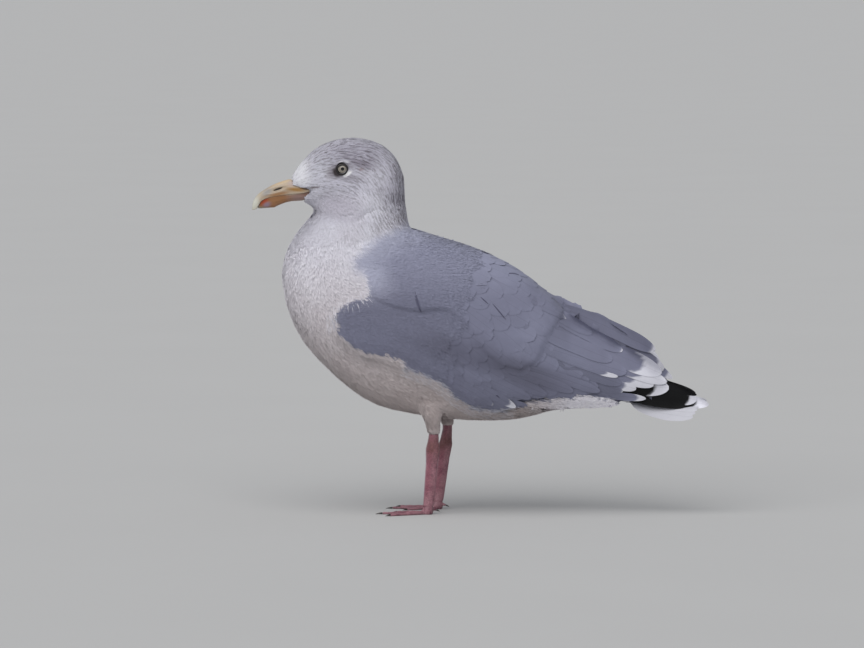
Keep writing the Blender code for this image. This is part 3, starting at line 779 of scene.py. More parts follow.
    def grey_tint(self, points: Array) -> Array:
        """The grey of back and wings at each place, paler towards the neck, with painted light towards the
        top and painted shade below the scapulars.
        """
        height = points[:, 2]
        lumps = value_noise(points, 0.030, 8)
        colour = mixed(linear(*self.grey), linear(*self.dark_grey), 0.5 * lumps)
        # painted light: the grey is lighter towards the top of the back
        ridge = self.painted_light_share * smoothstep(*self.painted_light_heights, height)
        colour = mixed(colour, linear(*self.ridge_grey), ridge)
        # painted shade below the scapulars' edge
        colour = self.washed(colour, points, self.wing_shade, (0.3, 1.4))
        front = 1 - smoothstep(0.0, self.front_reach, self.depth(points))
        front = front * smoothstep(*self.front_heights, height)
        return mixed(colour, linear(*self.front_grey), self.front_share * front)


# ---------------------------------------------------------------- finishes


class Nodes:
    """A short way to build a node tree."""

    def __init__(self, tree: bpy.types.NodeTree) -> None:
        """Works on this tree."""
        self.tree = tree

    def add(self, kind: str, **settings: object) -> Node:
        """A new node of this kind, with its properties set."""
        node = self.tree.nodes.new(kind)
        for name, value in settings.items():
            setattr(node, name, value)
        return node

    def feed(self, node: Node, socket: str | int, source: object) -> None:
        """Links a source into a node's socket, or sets the socket to a value."""
        if isinstance(source, Socket):
            self.tree.links.new(source, node.inputs[socket])
        else:
            node.inputs[socket].default_value = source

    def fill(self, node: Node, sources: dict[str | int, object]) -> Node:
        """Feeds several sockets of a node and returns it."""
        for socket, source in sources.items():
            self.feed(node, socket, source)
        return node

    def layer(self, name: str, output: str) -> Socket:
        """What a mesh keeps at its points under this name."""
        return self.add("ShaderNodeAttribute", attribute_name=name).outputs[output]

    def mottle(self, scale: float, amount: float, stretch: tuple = (1, 1, 1)) -> Node:
        """Soft uneven patches with their own values."""
        node = self.add("ShaderNodeGroup", node_tree=mottle_group())
        return self.fill(node, {"Scale": scale, "Amount": amount, "Stretch": stretch})

    def bump(self, height: object, strength: float, distance: float) -> Socket:
        """A normal that follows a height."""
        node = self.add("ShaderNodeBump")
        self.fill(node, {"Height": height, "Strength": strength, "Distance": distance})
        return node.outputs[0]

    def math(self, operation: str, first: object, second: object = 0.0) -> Socket:
        """One sum of two values."""
        node = self.add("ShaderNodeMath", operation=operation)
        return self.fill(node, {0: first, 1: second}).outputs[0]

    def mix(self, share: object, first: object, second: object) -> Socket:
        """A colour between two colours."""
        node = self.add("ShaderNodeMix", data_type="RGBA")
        return self.fill(node, {0: share, 6: first, 7: second}).outputs[2]

    def scaled(self, vector: object, factor: object) -> Socket:
        """A vector, or a colour made lighter or darker, times a factor."""
        node = self.add("ShaderNodeVectorMath", operation="SCALE")
        return self.fill(node, {0: vector, "Scale": factor}).outputs[0]

    def ramp(self, source: object, low: float, high: float, start: float, end: float) -> Socket:
        """A value moved smoothly from one range to another."""
        node = self.add("ShaderNodeMapRange", interpolation_type="SMOOTHSTEP")
        return self.fill(node, dict(enumerate((source, low, high, start, end)))).outputs[0]


def node_group(name: str, inputs: dict[str, tuple[str, object]], outputs: dict[str, str]) -> tuple:
    """A new shader node group.

    Args:
        name: the group's name.
        inputs: each input's socket kind and its first value.
        outputs: each output's socket kind.

    Returns:
        The group, its builder, its input node and its output node.
    """
    tree = bpy.data.node_groups.new(name, "ShaderNodeTree")
    for label, (kind, value) in inputs.items():
        socket = tree.interface.new_socket(label, in_out="INPUT", socket_type=kind)
        if value is not None:
            socket.default_value = value
    for label, kind in outputs.items():
        tree.interface.new_socket(label, in_out="OUTPUT", socket_type=kind)
    nodes = Nodes(tree)
    return tree, nodes, nodes.add("NodeGroupInput"), nodes.add("NodeGroupOutput")


def mottle_group() -> bpy.types.NodeTree:
    """Soft uneven patches over a surface: a value round 1 and a height."""
    if "Mottle" in bpy.data.node_groups:
        return bpy.data.node_groups["Mottle"]
    inputs = {"Scale": ("NodeSocketFloat", 80.0), "Amount": ("NodeSocketFloat", 0.1),
              "Stretch": ("NodeSocketVector", (1, 1, 1))}
    outputs = {"Factor": "NodeSocketFloat", "Height": "NodeSocketFloat"}
    tree, nodes, entry, leave = node_group("Mottle", inputs, outputs)
    place = nodes.add("ShaderNodeTexCoord").outputs["Object"]
    spread = nodes.add("ShaderNodeVectorMath", operation="MULTIPLY")
    nodes.fill(spread, {0: place, 1: entry.outputs["Stretch"]})
    noise = nodes.add("ShaderNodeTexNoise")
    nodes.fill(noise, {"Vector": spread.outputs[0], "Scale": entry.outputs["Scale"], "Detail": 4.0})
    centred = nodes.math("SUBTRACT", noise.outputs["Fac"], 0.5)
    swing = nodes.math("MULTIPLY", centred, entry.outputs["Amount"])
    nodes.fill(leave, {"Factor": nodes.math("ADD", swing, 1.0), "Height": noise.outputs["Fac"]})
    return tree


def barbs_group() -> bpy.types.NodeTree:
    """A vane's shaft and slanting barbs, read from how far along and across it a place is."""
    if "Barbs" in bpy.data.node_groups:
        return bpy.data.node_groups["Barbs"]
    inputs = {"Vane": ("NodeSocketVector", (0, 0, 0)), "Spacing": ("NodeSocketFloat", 0.0006),
              "Slant": ("NodeSocketFloat", 1.4), "Shaft Width": ("NodeSocketFloat", 0.0004)}
    outputs = {"Height": "NodeSocketFloat", "Shaft": "NodeSocketFloat", "Line": "NodeSocketFloat"}
    tree, nodes, entry, leave = node_group("Barbs", inputs, outputs)
    parts = nodes.add("ShaderNodeSeparateXYZ")
    nodes.feed(parts, 0, entry.outputs["Vane"])
    off = nodes.math("ABSOLUTE", parts.outputs[1])
    slid = nodes.math("SUBTRACT", parts.outputs[0], nodes.math("MULTIPLY", off, entry.outputs["Slant"]))
    turns = nodes.math("DIVIDE", slid, entry.outputs["Spacing"])
    wave = nodes.math("SINE", nodes.math("MULTIPLY", turns, 2 * math.pi))
    line = nodes.math("ADD", nodes.math("MULTIPLY", wave, 0.5), 0.5)
    near = nodes.math("DIVIDE", off, entry.outputs["Shaft Width"])
    shaft = nodes.math("SUBTRACT", 1.0, nodes.ramp(near, 0.5, 1.0, 0.0, 1.0))
    height = nodes.math("ADD", nodes.math("MULTIPLY", line, 0.35), shaft)
    nodes.fill(leave, {"Height": height, "Shaft": shaft, "Line": line})
    return tree


class Finish:
    """A finish that is built once, and then shared by the pieces that have it."""

    name: str

    def material(self) -> bpy.types.Material:
        """Builds the finish once and returns it."""
        if self.name not in bpy.data.materials:
            material = bpy.data.materials.new(self.name)
            material.use_nodes = True
            self.shade(Nodes(material.node_tree), material.node_tree.nodes["Principled BSDF"])
        return bpy.data.materials[self.name]

    def shade(self, nodes: Nodes, shader: Node) -> None:
        """Feeds the shader; each finish has its own way."""
        raise NotImplementedError


@dataclass(frozen=True)
class DownFinish(Finish):
    """Soft body plumage: its colour is the markings' own, with a dull silky surface."""

    name: str = "body_plumage"
    roughness: float = 0.72
    sheen: float = 0.25
    sheen_roughness: float = 0.5
    gloss: float = 0.25
    scale: float = 260.0
    amount: float = 0.12

    def shade(self, nodes: Nodes, shader: Node) -> None:
        """Feeds the shader with the feathers' colour and a soft unevenness."""
        factor = nodes.mottle(self.scale, self.amount).outputs["Factor"]
        nodes.fill(shader, {
            "Base Color": nodes.scaled(nodes.layer("tint", "Color"), factor),
            "Roughness": nodes.math("MULTIPLY", factor, self.roughness),
            "Sheen Weight": self.sheen,
            "Sheen Roughness": self.sheen_roughness,
            "Specular IOR Level": self.gloss,
        })


@dataclass(frozen=True)
class VaneFinish(Finish):
    """Flat feather vanes: the markings' colour, with a shaft and slanting barbs."""

    name: str = "vanes"
    roughness: float = 0.6
    sheen: float = 0.05
    gloss: float = 0.2
    spacing: float = 0.0007
    shaft_width: float = 0.00035
    shaft_shade: float = 0.12
    line_shade: float = 0.05
    scale: float = 90.0
    amount: float = 0.16
    relief: tuple[float, float] = (0.25, 0.0003)

    def shade(self, nodes: Nodes, shader: Node) -> None:
        """Feeds the shader with the vane's colour, its lines and their relief."""
        barbs = nodes.add("ShaderNodeGroup", node_tree=barbs_group())
        nodes.fill(barbs, {"Vane": nodes.layer("vane", "Vector"), "Spacing": self.spacing,
                           "Shaft Width": self.shaft_width})
        mottle = nodes.mottle(self.scale, self.amount).outputs["Factor"]
        lines = nodes.math("MULTIPLY", barbs.outputs["Line"], self.line_shade)
        lines = nodes.math("ADD", lines, 1 - self.line_shade / 2)
        shaft = nodes.math("MULTIPLY", barbs.outputs["Shaft"], -self.shaft_shade)
        factor = nodes.math("MULTIPLY", mottle, nodes.math("ADD", lines, shaft))
        nodes.fill(shader, {
            "Base Color": nodes.scaled(nodes.layer("tint", "Color"), factor),
            "Roughness": nodes.math("MULTIPLY", mottle, self.roughness),
            "Normal": nodes.bump(barbs.outputs["Height"], *self.relief),
            "Sheen Weight": self.sheen,
            "Specular IOR Level": self.gloss,
        })


# ---------------------------------------------------------------- the body


@dataclass(frozen=True)
class Ledge:
    """Feathers that stand out along a line of the side view and overhang what lies below it."""

    line: tuple
    height: float
    foot: float
    blend: tuple[float, float]
    fade: float
    start: tuple[float, float] = (-0.004, 0.012)
    lip: float = -0.0005

    def rise(self, points: Array) -> Array:
        """How far the feathers stand out at each place."""
        line = np.array(self.line, float) * MM
        slope = np.gradient(line[:, 1], line[:, 0])
        square = 1 / np.hypot(1, np.interp(points[:, 0], line[:, 0], slope))
        height = side_view(points)[:, 1]
        above = (height - np.interp(points[:, 0], line[:, 0], line[:, 1])) * square
        first, last = line[0, 0], line[-1, 0]
        reach = smoothstep(first + self.start[0], first + self.start[1], points[:, 0])
        reach = reach * (1 - smoothstep(last - self.fade, last, points[:, 0]))
        step = smoothstep(self.lip, self.foot, above) * (1 - smoothstep(*self.blend, above))
        return self.height * step * reach


@dataclass(frozen=True)
class Area:
    """A soft-edged part of the form, where several soft steps meet.

    Each step is (measure, start, end). It rises from 0 at start to 1 at end, also where the end
    is the lower of the two.
    """

    steps: tuple[tuple[str, float, float], ...]

    def share(self, measures: dict[str, Array]) -> Array:
        """How much each place belongs to the area, 0 to 1."""
        share = 1.0
        for measure, start, end in self.steps:
            values = measures[measure]
            rises = start < end
            share = share * (smoothstep(start, end, values) if rises else 1 - smoothstep(end, start, values))
        return share


@dataclass
class Body:
    """The bird's outer form with its skin, which every feather is laid on."""

    voxel: float = 0.0021
    grow: float = 0.0007
    rounds: int = 8
    head_depth: float = 0.0016
    neck_depth: float = 0.003
    trunk_depth: float = 0.0042
    wing_depth: float = 0.0028
    thinnest_share: float = 0.34
    skin_rounds: int = 12
    mantle_rounds: int = 30
    filling_rounds: int = 36
    seam_rounds: int = 70
    filling: tuple[float] = (0.6,)
    back_kept: float = 0.0007
    seam_kept: float = 0.0013
    near_part: float = 0.012
    skin_tone: float = 0.8
    flank: Area = Area((("depth", -0.024, -0.014), ("depth", 0.001, -0.003), ("x", -0.165, -0.150),
                        ("x", 0.03, 0.0), ("z", 0.215, 0.195)))
    back: Area = Area((("depth", 0.004, 0.018), ("x", 0.09, 0.05), ("z", 0.215, 0.250),
                       ("x", -0.080, -0.060)))
    seam: Area = Area((("off", 0.026, 0.014), ("z", 0.270, 0.290), ("x", -0.080, -0.066),
                       ("x", 0.06, 0.03)))
    flesh: tuple[str, ...] = ("head", "neck", "trunk", "wing_left", "wing_right",
                              "thigh_left", "thigh_right")
    scapulars: Ledge = Ledge((
        (-128, 248), (-118, 240), (-100, 232), (-80, 228), (-66, 226), (-52, 229), (-36, 228),
        (-15, 210), (7, 178), (25, 165), (46, 160), (64, 168), (82, 203), (99, 228),
    ), 0.0024, 0.0040, (0.012, 0.050), 0.006)
    soft_mantle: Spot = Spot((-98, 300), (48, 30), (0, 0, 0), -38)
    throat: Ledge = Ledge((
        (-187, 342), (-178, 337), (-168, 333), (-152, 331.5), (-136, 333), (-124, 337), (-112, 345),
    ), 0.0020, 0.0060, (0.006, 0.030), 0.018)
    lie: Lie = Lie()
    unwrap: Unwrap = Unwrap()
    markings: Markings = field(default_factory=Markings)

    def build(self, nodes: Solids) -> None:
        """Joins the flesh, with the eyes filling their sockets, and finds what each point is of.

        Args:
            nodes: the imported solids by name.
        """
        self.names = self.flesh + ("eye_left", "eye_right")
        form = joined([nodes[name] for name in self.names], self.voxel, self.grow, self.rounds)
        self.plain = self.eased(form)
        self.part = self.parts(nodes)
        points = self.plain.points
        rise = self.scapulars.rise(points) + self.throat.rise(points)
        self.surface = Surface(points + self.plain.normals * rise[:, None], self.plain.triangles)
        on_head = self.is_part("head", "neck")[self.surface.triangles].any(1)
        self.markings.prepare(self.surface, self.lie, on_head.astype(float))

    def eased(self, form: Surface) -> Surface:
        """The form with its mantle smoothed, and the hollows by wing, back and seam filled."""
        smooth = relaxed(form.points, form.triangles, self.mantle_rounds)
        share = self.soft_mantle.share(form.points, 0.5, 1.2)[:, None]
        points = form.points + (smooth - form.points) * share
        measures = {"depth": self.markings.depth(points), "x": points[:, 0],
                    "off": np.abs(points[:, 1]), "z": points[:, 2]}
        flank, back, seam = (area.share(measures) for area in (self.flank, self.back, self.seam))
        for rounds, part in ((self.filling_rounds, np.maximum(flank, back)), (self.seam_rounds, seam)):
            filled = relaxed(points, form.triangles, rounds, self.filling)
            points = points + (filled - points) * part[:, None]
        kept = self.back_kept * back + self.seam_kept * seam
        return Surface(points + form.normals * kept[:, None], form.triangles)

    def parts(self, nodes: Solids) -> Array:
        """Which of the named solids lies nearest to each point of the plain form."""
        places = self.plain.points
        gaps = np.full((len(self.names), len(places)), 1.0)
        for row, name in enumerate(self.names):
            points, triangles = arrays_of(nodes[name])
            tree = BVHTree.FromPolygons(points.tolist(), triangles.tolist())
            low, high = points.min(0) - self.near_part, points.max(0) + self.near_part
            near = ((places >= low) & (places <= high)).all(1)
            gaps[row, near] = [tree.find_nearest(place)[3] for place in places[near].tolist()]
        return gaps.argmin(0)

    def is_part(self, *names: str) -> Array:
        """Which points of the form are of these parts."""
        return np.isin(self.part, [self.names.index(name) for name in names])

    def skin(self) -> Piece:
        """The one skin, inside the form by the depth of the plumage over it."""
        depth = np.full(len(self.surface.points), self.trunk_depth)
        for value, names in (
            (self.head_depth, ("head", "eye_left", "eye_right")),
            (self.neck_depth, ("neck", "thigh_left", "thigh_right")),
            (self.wing_depth, ("wing_left", "wing_right")),
        ):
            depth[self.is_part(*names)] = value
        depth = np.minimum(depth, self.plain.thickness() * self.thinnest_share)
        edges = self.surface.triangles[:, [0, 1, 1, 2, 2, 0]].reshape(-1, 2)
        count = np.bincount(edges.ravel(), minlength=len(depth))
        for _ in range(self.skin_rounds):
            total = np.bincount(edges[:, 0], depth[edges[:, 1]], len(depth))
            total += np.bincount(edges[:, 1], depth[edges[:, 0]], len(depth))
            depth = 0.5 * depth + 0.5 * total / count
        points = self.plain.points - self.plain.normals * depth[:, None]
        skin = mesh_object("skin", points, self.surface.triangles)
        paint(skin, "tint", self.skin_tone * self.markings.body(self.surface.points))
        skin.data.materials.append(DownFinish().material())
        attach(skin, "root")
        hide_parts(*self.flesh)
        return skin


# ---------------------------------------------------------------- tufts


TUFT_STOPS = (0.0, 0.34, 0.72, 1.0)  # the stations along a tuft, as shares of its length
TUFT_WIDTHS = (0.55, 1.0, 0.72, 0.0)  # how wide it is there, as shares of its width


@dataclass(frozen=True)
class Tufts:
    """Fine pointed locks that lie along a surface, as one joined mesh."""

    count: int = 20000
    length: float = 0.009
    width: float = 0.0013
    sink: float = 0.0016
    rise: float = 0.0004
    loose: float = 7.0
    roll: float = 14.0
    seed: int = 1
    root_shade: float = 0.86
    tip_shade: float = 1.03
    colour_spread: float = 0.04
    patch: float = 0.003

    def mesh(self, name: str, surface: Surface, lie: Lie, shares: Array, colour_of: OfPlaces,
             unwrap: Unwrap, shift: OfPlaces | None = None) -> Piece:
        """Makes the tufts.

        Args:
            name: the piece's name.
            surface: what they lie on.
            lie: which way they point.
            shares: how dense they are on each face.
            colour_of: a function from root places to colours.
            unwrap: the rolled-out body, for the bake map.
            shift: a function that moves points out of the way of an eye, or None.

        Returns:
            The piece.
        """
        rng = np.random.default_rng(self.seed)
        roots, root_normals, _ = surface.scatter(shares, self.count, rng)
        way = self.turned(lie(roots, root_normals), root_normals, rng.normal(0, self.loose, self.count))
        size = rng.uniform(0.75, 1.2, self.count)
        reach = (self.length * size)[:, None]
        middles, middle_normals, _ = surface.snap(roots + way * reach * 0.5)
        onward = tangent_to(middle_normals, 0.5 * way + 0.5 * lie(middles, middle_normals))
        tips, tip_normals, _ = surface.snap(middles + onward * reach * 0.5)
        lift = (rng.random(self.count) ** 2)[:, None]
        across = unit(np.cross(root_normals, tips - roots))
        across = self.turned(across, unit(tips - roots), rng.normal(0, self.roll, self.count))
        half = across * (self.width / 2 * rng.uniform(0.75, 1.25, self.count))[:, None]
        rows = []
        for stop, wide in zip(TUFT_STOPS, TUFT_WIDTHS):
            near, mid, far = (1 - stop) * (1 - 2 * stop), 4 * stop * (1 - stop), stop * (2 * stop - 1)
            line = roots * near + middles * mid + tips * far
            out = unit(root_normals * near + middle_normals * mid + tip_normals * far)
            height = -self.sink * (1 - stop) + self.rise * stop * (1 + 2 * lift)
            line = line + out * height
            rows += [line] if wide == 0.0 else [line - half * wide, line + half * wide]
        points = np.stack(rows, axis=1)
        if shift is not None:
            points = shift(points.reshape(-1, 3)).reshape(points.shape)
        faces = np.array([(0, 1, 3), (0, 3, 2), (2, 3, 5), (2, 5, 4), (4, 5, 6)])
        triangles = (faces[None] + 7 * np.arange(self.count)[:, None, None]).reshape(-1, 3)
        tufts = mesh_object(name, points.reshape(-1, 3), triangles)
        colour = colour_of(roots) * rng.normal(1, self.colour_spread, self.count)[:, None]
        steps = np.repeat(TUFT_STOPS, 2)[:-1]
        shade = self.root_shade + (self.tip_shade - self.root_shade) * steps
        paint(tufts, "tint", np.clip(colour[:, None] * shade[None, :, None], 0, 1).reshape(-1, 3))
        length, angle, _ = unwrap(roots)
        bake_map(tufts, self.patches(length, angle, steps))
        return tufts

    def patches(self, length: Array, angle: Array, steps: Array) -> Array:
        """A small patch of the bake map for each tuft, at its root's place on the rolled-out body."""
        span = np.ptp(length) + 1e-9
        u = self.patch + (1 - 2 * self.patch) * (length - length.min()) / span
        v = self.patch + (1 - 2 * self.patch) * (angle + math.pi) / (2 * math.pi)
        sides = np.array([-1, 1, -1, 1, -1, 1, 0]) * 0.5
        place_u = u[:, None] + self.patch * (steps - 0.5)[None]
        place_v = v[:, None] + self.patch * sides[None]
        return np.stack([place_u, place_v], axis=2).reshape(-1, 2)

    @staticmethod
    def turned(vectors: Array, axes: Array, degrees: Array) -> Array:
        """Vectors turned round axes at right angles to them."""
        turn = np.radians(degrees)[:, None]
        return unit(vectors * np.cos(turn) + np.cross(axes, vectors) * np.sin(turn))


# ---------------------------------------------------------------- vanes


class Tip(Enum):
    """How a vane ends: where it starts to round in, and how much width its end keeps.

    A slit is a lens: it rounds in from its middle to both ends.
    """

    ROUND = (0.62, 0.30)
    LONG = (0.76, 0.16)
    SLIT = (0.5, 0.10)

    def outline(self, steps: Array) -> Array:
        """The share of the full width at each step from root to tip."""
        start, end = self.value
        if self is Tip.SLIT:
            return np.maximum(np.sin(math.pi * steps), end)
        base = 0.55 + 0.45 * smoothstep(0.0, 0.45, steps)
        inward = np.clip((steps - start) / (1 - start), 0, 1)
        return base * np.maximum(np.sqrt(np.maximum(1 - inward ** 2, 0)), end * (inward > 0.5))


@dataclass
class Vanes:
    """Flat feathers of one tract, shingled over each other, as one joined mesh."""

    rows: int = 9
    columns: int = 5
    tip: Tip = Tip.ROUND
    sink: float = 0.0016
    rise: float = 0.0006
    tilt: float = 0.0003
    camber: float = 0.0005
    hug: float = 0.004

    @property
    def steps(self) -> Array:
        """The stations along a vane, closer together at its tip."""
        return 1 - (1 - np.linspace(0, 1, self.rows)) ** 1.35

    @property
    def sides(self) -> Array:
        """The stations across a vane, -1 at one edge and 1 at the other."""
        return np.linspace(-1, 1, self.columns)

    def widths(self, halves: Array) -> Array:
        """Half of each vane's width at each station along it."""
        return halves[:, None] * self.tip.outline(self.steps)[None]

    def coords(self, shafts: Array, half: Array) -> Array:
        """Each point's place on its vane: metres along, metres across and the share along."""
        run = np.linalg.norm(np.diff(shafts, axis=1), axis=2).cumsum(1)
        run = np.concatenate([np.zeros((len(shafts), 1)), run], axis=1)
        coords = np.empty(half.shape + (self.columns, 3))
        coords[..., 0] = run[:, :, None]
        coords[..., 1] = half[:, :, None] * self.sides
        coords[..., 2] = self.steps[None, :, None]
        return coords

    def grid(self, surface: Surface, shafts: Array, halves: Array, seed: int) -> tuple[Array, Array]:
        """Spreads vanes over a surface.

        Args:
            surface: what they lie on.
            shafts: the line of each shaft on the surface, (N, rows, 3).
            halves: half of each vane's width, (N,).
            seed: which chance.

        Returns:
            The points, (N, rows, columns, 3), and each point's place on its vane: metres
            along, metres across and the share along.
        """
        rng = np.random.default_rng(seed)
        steps = self.steps
        _, normals, _ = surface.snap(shafts)
        ways = unit(np.gradient(shafts, axis=1))
        across = unit(np.cross(normals, ways))
        sides = self.sides
        half = self.widths(halves)
        spread = across[:, :, None] * (half[:, :, None] * sides)[..., None]
        points = shafts[:, :, None] + spread
        hits, hit_normals, _ = surface.snap(points)
        pull = hits - points
        far = np.linalg.norm(pull, axis=-1, keepdims=True)
        points = points + pull * np.minimum(1, self.hug / np.maximum(far, 1e-9))
        away = smoothstep(0, self.hug, far)
        out = unit(hit_normals * (1 - away) + normals[:, :, None] * away)
        height = -self.sink * (1 - steps) + self.rise * steps
        lean = rng.uniform(0.4, 1.0, len(shafts)) * self.tilt
        total = height[None, :, None] - self.camber * (sides ** 2)[None, None]
        total = total + lean[:, None, None] * sides[None, None]
        return points + out * total[..., None], self.coords(shafts, half)

    def piece(self, name: str, points: Array, coords: Array, colours: Array,
              finish: Finish = VaneFinish()) -> Piece:
        """Joins grids of vanes into one piece.

        Args:
            name: the piece's name.
            points: (N, rows, columns, 3).
            coords: each point's place on its vane, shaped alike.
            colours: each point's colour, shaped alike.
            finish: the vanes' finish.

        Returns:
            The piece, with one cell of the bake map for each vane.
        """
        count, rows, columns = points.shape[:3]
        faces = sheet_faces(rows, columns)
        triangles = (faces[None] + rows * columns * np.arange(count)[:, None, None]).reshape(-1, 3)
        obj = mesh_object(name, points.reshape(-1, 3), triangles)
        paint(obj, "tint", np.clip(colours, 0, 1).reshape(-1, 3))
        measure(obj, "vane", coords.reshape(-1, 3))
        cells = math.ceil(math.sqrt(count))
        row, column = np.divmod(np.arange(count), cells)
        u = np.linspace(0.05, 0.95, rows)[None, :, None] + column[:, None, None]
        v = np.linspace(0.05, 0.95, columns)[None, None, :] + row[:, None, None]
        u, v = np.broadcast_arrays(u, v)
        bake_map(obj, np.stack([u, v], axis=-1).reshape(-1, 2) / cells)
        obj.data.materials.append(finish.material())
        return obj


def traced(surface: Surface, lie: Lie, roots: Array, lengths: Array, steps: Array,
           turn: Array) -> Array:
    """Shafts that start at roots and follow the lie over a surface.

    Args:
        surface: what they lie on.
        lie: which way feathers point.
        roots: (N, 3).
        lengths: (N,).
        steps: the share of the length at each station.
        turn: degrees that each shaft is turned out of the lie, (N,).

    Returns:
        The shafts, (N, stations, 3).
    """
    places, normals, _ = surface.snap(roots)
    line = [places]
    way = Tufts.turned(lie(places, normals), normals, turn)
    for step in np.diff(steps):
        places, normals, _ = surface.snap(places + way * (lengths * step)[:, None])
        line.append(places)
        onward = Tufts.turned(lie(places, normals), normals, turn)
        way = tangent_to(normals, 0.4 * way + 0.6 * onward)
    return np.stack(line, axis=1)


def spaced_out(places: Array, gaps: Array) -> Array:
    """Which of many places to keep so that none is nearer another than its gap.

    Args:
        places: (N, 3), in the order in which they are tried.
        gaps: the least distance from each place to its neighbours, (N,).

    Returns:
        The indices kept.
    """
    cell = float(gaps.max())
    grid: dict[tuple[int, int, int], list[int]] = {}
    kept = []
    homes = np.floor(places / cell).astype(int)
    around = list(product((-1, 0, 1), repeat=3))
    for index, (home, place, gap) in enumerate(zip(homes.tolist(), places, gaps.tolist())):
        near = [other for step in around
                for other in grid.get((home[0] + step[0], home[1] + step[1], home[2] + step[2]), ())]
        if near and (((places[near] - place) ** 2).sum(1) < gap * gap).any():
            continue
        grid.setdefault(tuple(home), []).append(index)
        kept.append(index)
    return np.array(kept)


def thinned(roots: Array, normals: Array, gap: float, rng: Chance) -> tuple[Array, Array]:
    """Roots and normals in a random order, without those that lie nearer than a gap to others."""
    order = rng.permutation(len(roots))
    roots, normals = roots[order], normals[order]
    kept = spaced_out(roots, np.full(len(roots), gap))
    return roots[kept], normals[kept]


# ---------------------------------------------------------------- the soft coat


